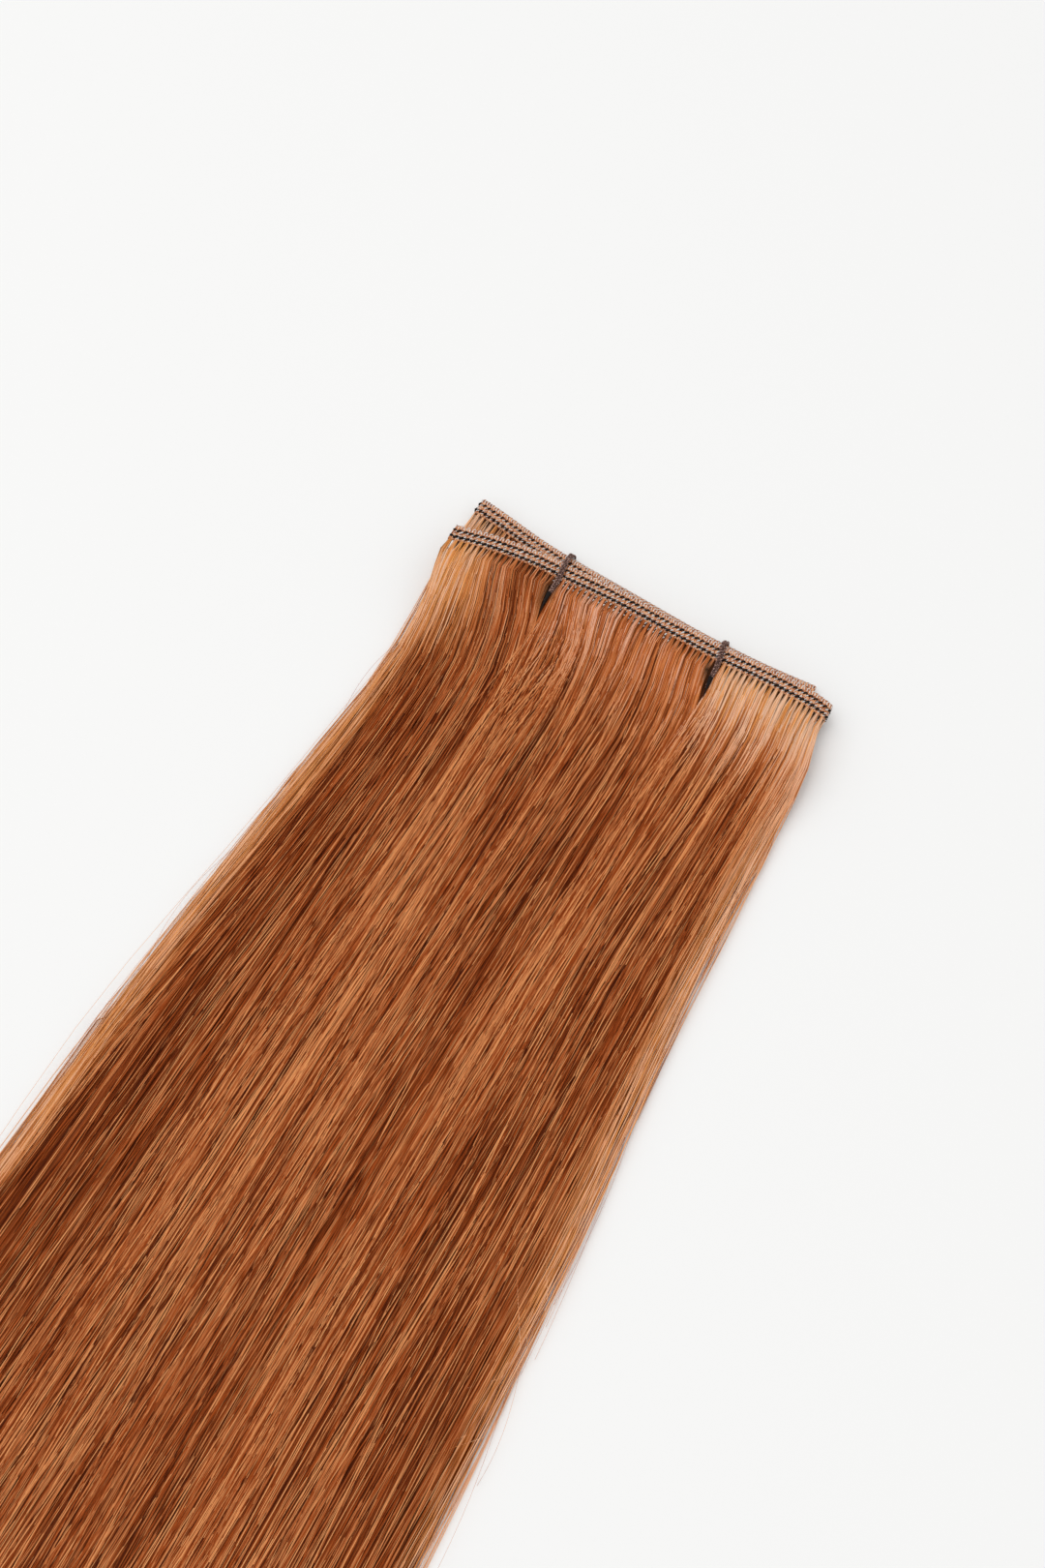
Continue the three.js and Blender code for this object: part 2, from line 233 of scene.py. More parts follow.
class WeftColours(bpy.types.PropertyGroup):
    hair_dark: colour_property("Dark hair", "The darkest strands", "#551804")
    hair_middle: colour_property("Copper hair", "Most of the strands", "#AE501E")
    hair_light: colour_property("Light hair", "The lightest strands", "#F0A468")
    # Tints that carry painted light: a golden painted highlight by the ends of the band and on the rims, and
    # a rosy tint with painted sheen under the middle of the band
    hair_gold_highlight: colour_property("Golden hair", "Strands by the ends of the band", "#FFB468")
    hair_rose_and_sheen: colour_property("Rosy hair", "Strands under the middle of the band", "#F0985A")
    band: colour_property("Band", "Hair and film between the seams", "#CC7C46")
    seam_thread: colour_property("Seam thread", "The dark machine stitches", "#140C0A")
    # The filament's white is partly its own and partly painted glints
    filament: colour_property("Filament", "The clear nylon of the seams", "#FFFDFA")
    tie: colour_property("Tie", "The two doubled threads", "#5C3C34")
    table: colour_property("Table", "The pale surface under the weft", "#F6F6F5")


class WeftStage(bpy.types.PropertyGroup):
    camera_tilt: bpy.props.FloatProperty(
        name="Camera tilt", description="From straight down", default=math.radians(26.7), unit="ROTATION"
    )
    camera_turn: bpy.props.FloatProperty(
        name="Camera turn", description="About the vertical", default=math.radians(29.5), unit="ROTATION"
    )
    camera_distance: length_property("Camera distance", "To the point it looks at", 583.4 * MM)
    aim_aside: bpy.props.FloatProperty(
        name="Aim aside", description="Along the band from its middle", default=-3.8 * MM, unit="LENGTH"
    )
    aim_down: length_property("Aim down", "Down the hair from the band", 58.5 * MM)


# Shapes

def mix(a, b, share):
    return a + (b - a) * share


def smooth(value, start, end):
    """Rises softly from 0 to 1 between two places. fade falls in the same way."""
    share = np.clip((value - start) / (end - start), 0, 1)
    return share * share * (3 - 2 * share)


def fade(value, start, end):
    return 1 - smooth(value, start, end)


def curve_weights(keys, at):
    """How much the value at each key counts at a place, on a smooth curve through all of them."""
    keys = np.asarray(keys, float)
    last = len(keys) - 1
    number = np.arange(len(keys))
    before, after = np.maximum(number - 1, 0), np.minimum(number + 1, last)
    unit = np.eye(len(keys))
    slopes = (unit[after] - unit[before]) / (keys[after] - keys[before])[:, None]
    place = np.clip(at, keys[0], keys[-1])
    end = np.clip(np.searchsorted(keys, place), 1, last)
    start = end - 1
    span = (keys[end] - keys[start])[..., None]
    t = (place - keys[start])[..., None] / span
    return (
        (2 * t**3 - 3 * t**2 + 1) * unit[start]
        + (t**3 - 2 * t**2 + t) * span * slopes[start]
        + (3 * t**2 - 2 * t**3) * unit[end]
        + (t**3 - t**2) * span * slopes[end]
    )


def read_table(rows, key, name, at):
    """One column of a table as a smooth function of another."""
    return curve_weights(rows[key], at) @ rows[name]


class Weft:
    """Where the band, the hair and the ties lie.

    It counts from the middle of the fold, with the hair running from y 0 towards -Y. place turns
    such points into the frame's own.
    """

    panel_steps = 220
    fold_steps = 24

    def __init__(self, sizes):
        self.sizes = sizes
        self.pitch = sizes.band_thickness + sizes.band_spacing
        under_band = sizes.floor_clearance + sizes.thread_diameter + sizes.clearance
        self.bottom = under_band + sizes.band_thickness / 2
        passings = [self.tie_passing(tie)[1] for tie in TIES]
        self.settle_start = min(passings) - sizes.thread_diameter - sizes.clearance
        self.settle_end = self.settle_start - sizes.settle_share * sizes.hair_length
        fold_radius = (TOP_PANEL["lift"][-1] - MIDDLE_PANEL["lift"][-1]) * self.pitch / 2
        fold_start = TOP_PANEL["across"][-1] * sizes.panel_width / 2
        shift_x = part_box("weft_band")[1].x - (fold_start + fold_radius + sizes.band_thickness / 2)
        shift_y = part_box("hair_bottom_layer")[0].y + sizes.hair_length
        self.shift = np.array([shift_x, shift_y, 0.0])
        self.path = self.ribbon_path()
        steps = np.hypot(np.diff(self.path[:, 0]), np.diff(self.path[:, 2]))
        self.run = np.concatenate([[0], np.cumsum(steps)])

    def place(self, points):
        return points + self.shift

    def band_at(self, panel, across):
        """The band's middle in x and z and its top edge in y, at a place across one panel."""
        x = across * self.sizes.panel_width / 2
        top = read_table(panel, "across", "slip", across) * self.sizes.band_height
        z = self.bottom + read_table(panel, "across", "lift", across) * self.pitch
        return x, top, z

    def band_at_x(self, panel, x):
        return self.band_at(panel, 2 * x / self.sizes.panel_width)

    def panel_path(self, panel):
        across = np.linspace(*panel["across"][[0, -1]], self.panel_steps + 1)
        return np.stack(self.band_at(panel, across), axis=1)

    def fold_path(self, start, end, side):
        """The turn between two panels, bulging to the side that it is on."""
        share = np.arange(1, self.fold_steps) / self.fold_steps
        turn = np.pi * share
        radius = abs(start[2] - end[2]) / 2
        x = mix(start[0], end[0], share) + side * radius * np.sin(turn)
        z = (start[2] + end[2]) / 2 + (start[2] - end[2]) / 2 * np.cos(turn)
        return np.stack([x, mix(start[1], end[1], share), z], axis=1)

    def ribbon_path(self):
        top = self.panel_path(TOP_PANEL)
        middle = self.panel_path(MIDDLE_PANEL)[::-1]
        bottom = self.panel_path(BOTTOM_PANEL)
        right_fold = self.fold_path(top[-1], middle[0], 1)
        left_fold = self.fold_path(middle[-1], bottom[0], -1)
        return np.concatenate([top, right_fold, middle, left_fold, bottom])

    def stretch(self, number):
        """How far along the band one layer of hair starts, at its left and at its right."""
        half_fold = self.fold_steps // 2
        right_fold = self.run[self.panel_steps + half_fold]
        left_fold = self.run[2 * self.panel_steps + self.fold_steps + half_fold]
        ends = {
            BOTTOM: (left_fold, self.run[-1]),
            MIDDLE: (left_fold, right_fold),
            TOP: (0.0, right_fold),
        }
        return ends[number]

    def on_ribbon(self, distance):
        """Middle x, top edge y, middle z and the face's direction, that far along the band."""
        x, top, z = (np.interp(distance, self.run, self.path[:, i]) for i in range(3))
        reach = self.run[-1] / len(self.run)
        ahead, behind = distance + reach, distance - reach
        run_x = np.interp(ahead, self.run, self.path[:, 0]) - np.interp(behind, self.run, self.path[:, 0])
        run_z = np.interp(ahead, self.run, self.path[:, 2]) - np.interp(behind, self.run, self.path[:, 2])
        size = np.hypot(run_x, run_z)
        return x, top, z, -run_z / size, run_x / size

    def tie_passing(self, tie):
        """Where a tie goes down through the hair."""
        x = tie["across"] * self.sizes.panel_width / 2
        top = self.band_at_x(TOP_PANEL, x)[1]
        y = top - self.sizes.band_height - self.sizes.tie_reach
        return x + tie["lean"] * (top - y), y

    def sides_at(self, y):
        down = -y / self.sizes.hair_length
        half = self.sizes.panel_width / 2
        left = read_table(HAIR_OUTLINE, "down", "left", down) * half
        right = read_table(HAIR_OUTLINE, "down", "right", down) * half
        return left, right, read_table(HAIR_OUTLINE, "down", "fullness", down)

    def flow(self, number, share, root_x, y, down):
        """Where across the plan the hair of a layer runs, at a height y and so far down from its roots."""
        if number == TOP:
            runs = [np.zeros_like(TOP_GUIDES["share"])]
            runs += [TOP_GUIDES[name] for name in GUIDE_STATIONS]
            strands = curve_weights(TOP_GUIDES["share"], share) @ np.stack(runs, axis=1)
            stations = curve_weights([STRAIGHT_ROOT, *GUIDE_STATIONS.values()], down)
            return root_x + self.sizes.panel_width * (strands * stations).sum(axis=-1)
        left, right, _ = self.sides_at(y)
        inset = LAYERS[number]["inset"] * self.sizes.panel_width / 2
        body = mix(left + inset, right - inset, share)
        return mix(root_x, body, smooth(-y, 0, -self.settle_end))

    def layer_heights(self, number, x, y):
        """The lower and the upper surface of one layer of hair over a point of the plan."""
        sizes = self.sizes
        left, right, fullness = self.sides_at(y)
        across = np.clip((2 * x - left - right) / (right - left), -1, 1)
        full = mix(sizes.hair_edge_thickness, sizes.hair_thickness, 1 - across**4)
        thickness = full * fullness
        pile_low = number * (thickness + sizes.clearance)
        band = self.band_at_x(LAYERS[number]["panel"], x)[2]
        settled = smooth(-y, -self.settle_start, -self.settle_end)
        low = mix(band - sizes.band_thickness / 2, pile_low, settled)
        high = mix(band + sizes.band_thickness / 2, pile_low + thickness, settled)
        return low, high


def tubes(points, radii, sides, reference, closed=False):
    """Vertices, faces and UVs of round tubes along lines of points.

    points is lines by stations by three. A tube's first side looks square to the reference axis.
    U runs once round a tube, and V counts centimetres along it.
    """
    lines, stations = points.shape[:2]
    ends = np.concatenate([points[:, -1:], points, points[:, :1]], axis=1) if closed else points
    run = np.gradient(ends, axis=1)[:, 1:-1] if closed else np.gradient(ends, axis=1)
    run /= np.linalg.norm(run, axis=2, keepdims=True)
    aside = np.cross(run, np.asarray(reference, float))
    aside /= np.linalg.norm(aside, axis=2, keepdims=True)
    above = np.cross(run, aside)
    turn = 2 * np.pi * np.arange(sides) / sides
    spokes = (
        np.cos(turn)[:, None] * aside[:, :, None, :] + np.sin(turn)[:, None] * above[:, :, None, :]
    )
    rings = points[:, :, None, :] + spokes * radii[:, :, None, None]
    number = np.arange(lines * stations * sides).reshape(lines, stations, sides)
    here = number if closed else number[:, :-1]
    ahead = np.roll(number, -1, axis=1) if closed else number[:, 1:]
    walls = np.stack([here, np.roll(here, -1, axis=2), np.roll(ahead, -1, axis=2), ahead], axis=3)
    steps = np.linalg.norm(np.diff(ends[:, 1:] if closed else ends, axis=1), axis=2)
    along = np.concatenate([np.zeros((lines, 1)), np.cumsum(steps, axis=1)], axis=1) / (10 * MM)
    around = np.arange(sides) / sides
    uv = np.empty(walls.shape + (2,))
    uv[..., 0] = np.stack([around, around + 1 / sides, around + 1 / sides, around], axis=1)
    uv[..., 1] = np.stack([along[:, :-1], along[:, :-1], along[:, 1:], along[:, 1:]], axis=2)[:, :, None, :]
    caps = [] if closed else [number[:, 0, ::-1], number[:, -1]]
    return rings.reshape(-1, 3), walls.reshape(-1, 4), caps, uv.reshape(-1, 4, 2)


def mesh_object(name, vertices, faces, uvs, attributes, material):
    """A smooth mesh piece from arrays. faces and uvs are lists of arrays, one row for each face."""
    mesh = bpy.data.meshes.new(name)
    corners = np.concatenate([block.ravel() for block in faces])
    counts = np.concatenate([np.full(len(block), block.shape[1]) for block in faces])
    mesh.vertices.add(len(vertices))
    mesh.vertices.foreach_set("co", vertices.astype(np.float32).ravel())
    mesh.loops.add(len(corners))
    mesh.loops.foreach_set("vertex_index", corners.astype(np.int32))
    mesh.polygons.add(len(counts))
    starts = np.concatenate([[0], np.cumsum(counts)[:-1]])
    mesh.polygons.foreach_set("loop_start", starts.astype(np.int32))
    mesh.update(calc_edges=True)
    mesh.shade_smooth()
    layer = mesh.uv_layers.new(name="strand")
    layer.data.foreach_set("uv", np.concatenate([block.ravel() for block in uvs]).astype(np.float32))
    for label, values in attributes.items():
        attribute = mesh.attributes.new(label, "FLOAT", "POINT")
        attribute.data.foreach_set("value", values.astype(np.float32).ravel())
    mesh.materials.append(material)
    piece = bpy.data.objects.new(name, mesh)
    bpy.context.scene.collection.objects.link(piece)
    return piece


def tube_object(name, bundles, material):
    """One piece from several bundles of tubes, each with its points, radii, sides and attributes."""
    vertices, faces, uvs, attributes = [], [], [], {}
    count = 0
    for bundle in bundles:
        shape = {name: value for name, value in bundle.items() if name != "attributes"}
        points, walls, caps, uv = tubes(**shape)
        vertices.append(points)
        faces.append(walls + count)
        uvs.append(uv)
        for cap in caps:
            faces.append(cap + count)
            uvs.append(np.zeros(cap.shape + (2,)))
        for label, values in bundle.get("attributes", {}).items():
            attributes.setdefault(label, []).append(np.repeat(values.ravel(), bundle["sides"]))
        count += len(points)
    joined = {label: np.concatenate(parts) for label, parts in attributes.items()}
    return mesh_object(name, np.concatenate(vertices), faces, uvs, joined, material)


def flat_grid(name, columns, rows):
    """A grid of one unit, and how far each of its vertices is across and down it."""
    bpy.ops.mesh.primitive_grid_add(x_subdivisions=columns, y_subdivisions=rows, size=1)
    grid = bpy.context.active_object
    grid.name = name
    grid.data.name = name
    flat = np.empty(len(grid.data.vertices) * 3)
    grid.data.vertices.foreach_get("co", flat)
    return grid, flat[0::3] + 0.5, 0.5 - flat[1::3]


def thicken(sheet, thickness):
    """Gives a sheet a wall that is as thick as asked at each vertex."""
    group = sheet.vertex_groups.new(name="thickness")
    fullest = thickness.max()
    for index, value in enumerate(thickness / fullest):
        group.add([index], float(value), "REPLACE")
    wall = sheet.modifiers.new("wall", "SOLIDIFY")
    wall.thickness = fullest
    wall.offset = 1
    wall.vertex_group = group.name
    wall.thickness_vertex_group = 0
    bpy.ops.object.modifier_apply(modifier=wall.name)
    sheet.data.shade_smooth()


def finish_piece(piece, slot, *nodes):
    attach(piece, "root")
    if nodes:
        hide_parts(*nodes)
    return piece


# Materials

def add_node(tree, kind, settings):
    """Adds a node. settings holds its properties and inputs, an input by its name or number.

    An input takes a value, or another node's output to be linked to.
    """
    node = tree.nodes.new(kind)
    for name, value in settings.items():
        if isinstance(name, str) and name not in node.inputs:
            setattr(node, name, value)
        elif isinstance(value, bpy.types.NodeSocket):
            tree.links.new(value, node.inputs[name])
        else:
            node.inputs[name].default_value = value
    return node


def new_material(name):
    material = bpy.data.materials.new(name)
    material.use_nodes = True
    material.node_tree.nodes.clear()
    return material, material.node_tree


def surface(tree, settings):
    """The shader of a material, joined to its output."""
    shader = add_node(tree, "ShaderNodeBsdfPrincipled", settings)
    add_node(tree, "ShaderNodeOutputMaterial", {"Surface": shader.outputs[0]})
    return shader


def colour_stops(ramp, stops):
    """Gives a colour ramp its stops, as pairs of a place and a linear colour."""
    while len(ramp.elements) < len(stops):
        ramp.elements.new(0.5)
    for element, (place, colour) in zip(ramp.elements, stops):
        element.position = place
        element.color = (*colour, 1.0)


def hair_material(colours):
    """Real hair, coloured and steamed straight: a glossy scaled fibre with coloured inner glow.

    tone runs from the darkest strand at 0 to the lightest at 1. Two facts tell how far a strand
    leans to the golden tint with its painted highlight and to the rosy tint with its painted sheen,
    and shade how much light reaches it, which is painted shade. fibre is a number of its own, so
    that its streaks differ from its neighbours'.
    """
    material, tree = new_material("copper_human_hair")
    facts = {
        name: add_node(tree, "ShaderNodeAttribute", {"attribute_name": name}).outputs["Fac"]
        for name in ("tone", "gold_and_highlight", "rose_and_sheen", "shade", "fibre")
    }
    uv = add_node(tree, "ShaderNodeUVMap", {"uv_map": "strand"})
    split = add_node(tree, "ShaderNodeSeparateXYZ", {"Vector": uv.outputs["UV"]})
    noise_rows = 97.0
    row = add_node(
        tree, "ShaderNodeMath",
        {"operation": "MULTIPLY_ADD", 0: facts["fibre"], 1: noise_rows, 2: split.outputs["X"]},
    )
    place = add_node(tree, "ShaderNodeCombineXYZ", {"X": row.outputs[0], "Y": split.outputs["Y"]})
    # Streaks of about 20 mm and less along a strand: painted shade where it dives under others, and
    # painted light where it comes up
    streaks = add_node(
        tree, "ShaderNodeTexNoise",
        {
            "noise_dimensions": "2D", "Scale": 0.48, "Detail": 2.5, "Roughness": 0.6,
            "Vector": place.outputs["Vector"],
        },
    )
    streak_strength = 1.2
    swing = add_node(
        tree, "ShaderNodeMath",
        {
            "operation": "MULTIPLY_ADD", 0: streaks.outputs["Fac"], 1: streak_strength,
            2: -streak_strength / 2,
        },
    )
    level = add_node(
        tree, "ShaderNodeMath",
        {"operation": "ADD", "use_clamp": True, 0: swing.outputs[0], 1: facts["tone"]},
    ).outputs[0]
    ramp = add_node(tree, "ShaderNodeValToRGB", {"Fac": level})
    stops = [(0.0, colours.hair_dark), (0.5, colours.hair_middle), (1.0, colours.hair_light)]
    colour_stops(ramp.color_ramp, stops)
    colour = ramp.outputs["Color"]
    # The rosy tint carries painted sheen and the golden one a painted highlight. Each tint deepens and
    # reddens towards its shadow, and pales where it catches the light
    for name, tint in (("rose_and_sheen", colours.hair_rose_and_sheen), ("gold_and_highlight", colours.hair_gold_highlight)):
        shadow = tuple(0.22 * channel**1.6 for channel in tint)
        half = tuple(0.76 * channel**1.25 for channel in tint)
        bright = tuple(mix(channel, 1, 0.34) for channel in tint)
        shades = add_node(tree, "ShaderNodeValToRGB", {"Fac": level})
        colour_stops(shades.color_ramp, [(0.0, shadow), (0.5, half), (0.8, tint), (1.0, bright)])
        # Inputs 0, 6 and 7 are the factor and the two colours, and output 2 is their blend
        blend = add_node(
            tree, "ShaderNodeMix",
            {"data_type": "RGBA", 0: facts[name], 6: colour, 7: shades.outputs["Color"]},
        )
        colour = blend.outputs[2]
    # The painted shade darkens the colour
    shaded = add_node(
        tree, "ShaderNodeVectorMath", {"operation": "SCALE", 0: colour, "Scale": facts["shade"]}
    )
    # The golden ends lie smooth and turned to the light, so they gleam more than plain hair
    plain_gleam, added_gleam = 0.22, 0.7
    gleam = add_node(
        tree, "ShaderNodeMath",
        {"operation": "MULTIPLY_ADD", 0: facts["gold_and_highlight"], 1: added_gleam, 2: plain_gleam},
    )
    shader = surface(
        tree,
        {
            "Base Color": shaded.outputs[0], "Roughness": 0.34, "IOR": 1.55,
            "Specular Tint": (*linear("#FFC48E"), 1.0), "Specular IOR Level": gleam.outputs[0],
        },
    )
    # An exported model drops that link and keeps this
    shader.inputs["Specular IOR Level"].default_value = plain_gleam
    return material


def band_material(colours):
    """Hair ends laid side by side under clear nylon: ribbed, a little glossy, partly see-through."""
    material, tree = new_material("hair_under_clear_film")
    uv = add_node(tree, "ShaderNodeUVMap", {})
    # About 450 small bundles of hair ends along the band
    scaled = add_node(
        tree, "ShaderNodeMapping", {"Vector": uv.outputs["UV"], "Scale": (900.0, 5.0, 1.0)}
    )
    cells = add_node(
        tree, "ShaderNodeTexNoise",
        {
            "noise_dimensions": "2D", "Scale": 1.0, "Detail": 2.0, "Roughness": 0.6,
            "Vector": scaled.outputs["Vector"],
        },
    )
    ramp = add_node(tree, "ShaderNodeValToRGB", {"Fac": cells.outputs["Fac"]})
    colour_stops(
        ramp.color_ramp,
        [(0.38, linear("#7E3E18")), (0.5, colours.band), (0.62, linear("#E4AC80"))],
    )
    surface(
        tree,
        {
            "Base Color": ramp.outputs["Color"], "Roughness": 0.32, "IOR": 1.5,
            "Coat Weight": 0.15, "Coat Roughness": 0.2,
        },
    )
    return material


def seam_material(colours):
    """Filament polyester sewing thread, dyed near black, with a slight sheen along its twist."""
    material, tree = new_material("dark_polyester_seam")
    base = (*colours.seam_thread, 1.0)
    surface(tree, {"Base Color": base, "Roughness": 0.5, "Specular IOR Level": 0.15})
    return material


def filament_material(colours):
    """Clear nylon monofilament: whitish of its own, with painted glints, and showing what lies under it."""
    material, tree = new_material("clear_nylon_filament")
    base = (*colours.filament, 1.0)
    surface(tree, {"Base Color": base, "Roughness": 0.12, "IOR": 1.53, "Transmission Weight": 0.15})
    return material


def tie_material(colours):
    """Twisted waxed cotton thread, dark brown, whose plies catch a dull light."""
    material, tree = new_material("waxed_cotton_thread")
    place = add_node(tree, "ShaderNodeTexCoord", {})
    # Fibres of about 0.4 mm, coarser than the real ones so that they show. The palest and darkest
    # specks are partly painted highlight and shade on the plies
    fibres = add_node(
        tree, "ShaderNodeTexNoise",
        {"Vector": place.outputs["Object"], "Scale": 2400.0, "Detail": 3.0, "Roughness": 0.7},
    ).outputs["Fac"]
    ramp = add_node(tree, "ShaderNodeValToRGB", {"Fac": fibres})
    stops = [(0.36, linear("#22110E")), (0.5, colours.tie), (0.62, linear("#C09A8C"))]
    colour_stops(ramp.color_ramp, stops)
    bump = add_node(
        tree, "ShaderNodeBump", {"Height": fibres, "Strength": 0.4, "Distance": 0.06 * MM}
    )
    surface(
        tree,
        {
            "Base Color": ramp.outputs["Color"], "Normal": bump.outputs["Normal"],
            "Roughness": 0.5, "Specular IOR Level": 0.35,
        },
    )
    return material


def table_material(colours):
    """Smooth white board with a soft matt surface."""
    material, tree = new_material("white_matt_board")
    base = (*colours.table, 1.0)
    surface(tree, {"Base Color": base, "Roughness": 0.6, "Specular IOR Level": 0.3})
    return material


def shared_material(name, maker, context):
    """The material of that name, made on first use."""
    return bpy.data.materials.get(name) or maker(context.scene.weft_colours)


# Hair

STRAND_STEPS = 24
STRAND_EASE = 1.8
LOCK_COUNT = 12
BROAD_LOCKS = 30
NARROW_LOCKS = 110
TUFT_KINDS = 400
# How far strands stray sideways: with their locks, each by itself, and each slowly further down
BROAD_STRAY = 0.35 * MM
NARROW_STRAY = 0.15 * MM
OWN_STRAY = 0.8 * MM
LONG_STRAY = 2.2 * MM
# How light a strand is, from 0 for the darkest hair to 1 for the lightest: the level that all start
# from, and what its own chance, its locks, painted shade by its depth and its place across the layer add
BASE_TONE = 0.49
OWN_TONE = 0.33
NARROW_TONE = 0.04
BROAD_TONE = 0.03
DEPTH_SHADE_TONE = -0.25
ACROSS_TONE = 0.1
# What painted rim light, the golden tint with its painted highlight, the rosy tint with its painted
# sheen, and the painted sheen on the right add
RIM_LIGHT_TONE = 0.4
GOLD_HIGHLIGHT_TONE = 0.4
ROSE_SHEEN_TONE = 0.2
SHEEN_TONE = 0.16


def waves(rng, count, down, shortest, longest):
    """Slow random waves along so many lines, about 1 high, with lengths between two limits."""
    parts = 3
    length = rng.uniform(shortest, longest, (count, parts, 1))
    phase = rng.uniform(0, 2 * np.pi, (count, parts, 1))
    return np.sin(2 * np.pi * down / length + phase).sum(axis=1) / math.sqrt(parts / 2)


def tie_share(weft, tie):
    """Where across the top layer a tie stands."""
    left, right = weft.stretch(TOP)
    panel = slice(weft.panel_steps)
    x = tie["across"] * weft.sizes.panel_width / 2
    along = np.interp(x, weft.path[panel, 0], weft.run[panel])
    return (along - left) / (right - left)


def part_at_ties(weft, share, x, y, z):
    """Moves strands aside where a tie goes down through the hair, and sweeps them across below."""
    sizes = weft.sizes
    sweep, sweep_width, slack_on_right = 0.9 * MM, 4 * MM, 0.2 * MM
    for tie in TIES:
        side = np.where(share < tie_share(weft, tie), -1, 1)[:, None]
        start = tie["across"] * sizes.panel_width / 2
        edge = weft.band_at_x(TOP_PANEL, start)[1] - sizes.band_height
        passing = weft.tie_passing(tie)[1]
        centre = start + tie["lean"] * (edge + sizes.band_height - y)
        released = smooth(-y, -passing + 3 * MM, -passing + 14 * MM)
        away = side * (x - centre)
        away = mix(np.maximum(away, 0), away, released)
        opens = smooth(-y, -edge - 1 * MM, -passing)
        closes = fade(-y, -passing, -(passing - 0.5 * sizes.parting_length))
        hollow = smooth(-y, -edge - 1 * MM, -edge + 1 * MM) * fade(-y, -edge + 1 * MM, -passing)
        gap = (sizes.thread_diameter + sizes.clearance) * opens * closes
        gap = gap + np.where(side < 0, tie["hollow"] * MM, slack_on_right) * hollow
        parted = side * np.where(away < 0, -1, 1) * np.sqrt(away**2 + gap**2)
        below = smooth(-y, -passing, -passing + 26 * MM)
        near = np.exp(-((away / sweep_width) ** 2)) * (side > 0)
        swept = sweep * near * below * fade(-y, -passing + 60 * MM, -passing + 160 * MM)
        x = centre + parted - swept
        z = z + 0.12 * swept * below
    return x, z


def pocket_shade(weft, x, y):
    """Painted shade: how much light reaches a strand in the pocket left of each tie, under the seam."""
    darkest, depth = 0.05, 1.3
    shade = 1
    for tie in TIES:
        passing_x, passing_y = weft.tie_passing(tie)
        aside = (x - passing_x + tie["pocket_aside"] * MM) / (tie["pocket_width"] * MM)
        above = (y - passing_y - tie["pocket_above"] * MM) / (tie["pocket_height"] * MM)
        shade = shade * np.clip(1 - depth * np.exp(-(aside**2) - above**2), darkest, 1)
    return shade


def lock_ends(weft, layer, share):
    """How far from the band the locks of a layer end, with the notches between them."""
    sizes = weft.sizes
    lock = np.minimum(LOCK_COUNT - 1, np.floor(share * LOCK_COUNT)).astype(int)
    shortfall = np.array(LOCK_SHORTFALLS)[(lock + layer["first_shortfall"]) % len(LOCK_SHORTFALLS)]
    aside = np.abs(share * LOCK_COUNT - lock - 0.5)
    notch = sizes.tip_notch * np.clip((aside - 1 / 6) * 3, 0, 1)
    return -sizes.hair_length * (1 - shortfall) + notch


def strand_bundle(weft, x, y, z, radii, rng, looks):
    """Strands as thin three-sided tubes. looks holds what their material reads, by name."""
    looks = {**looks, "fibre": rng.random(len(z))[:, None]}
    return {
        "points": weft.place(np.stack([x, y, z], axis=2)), "radii": radii, "sides": 3,
        "reference": (0, 0, 1),
        "attributes": {name: values * np.ones_like(z) for name, values in looks.items()},
    }


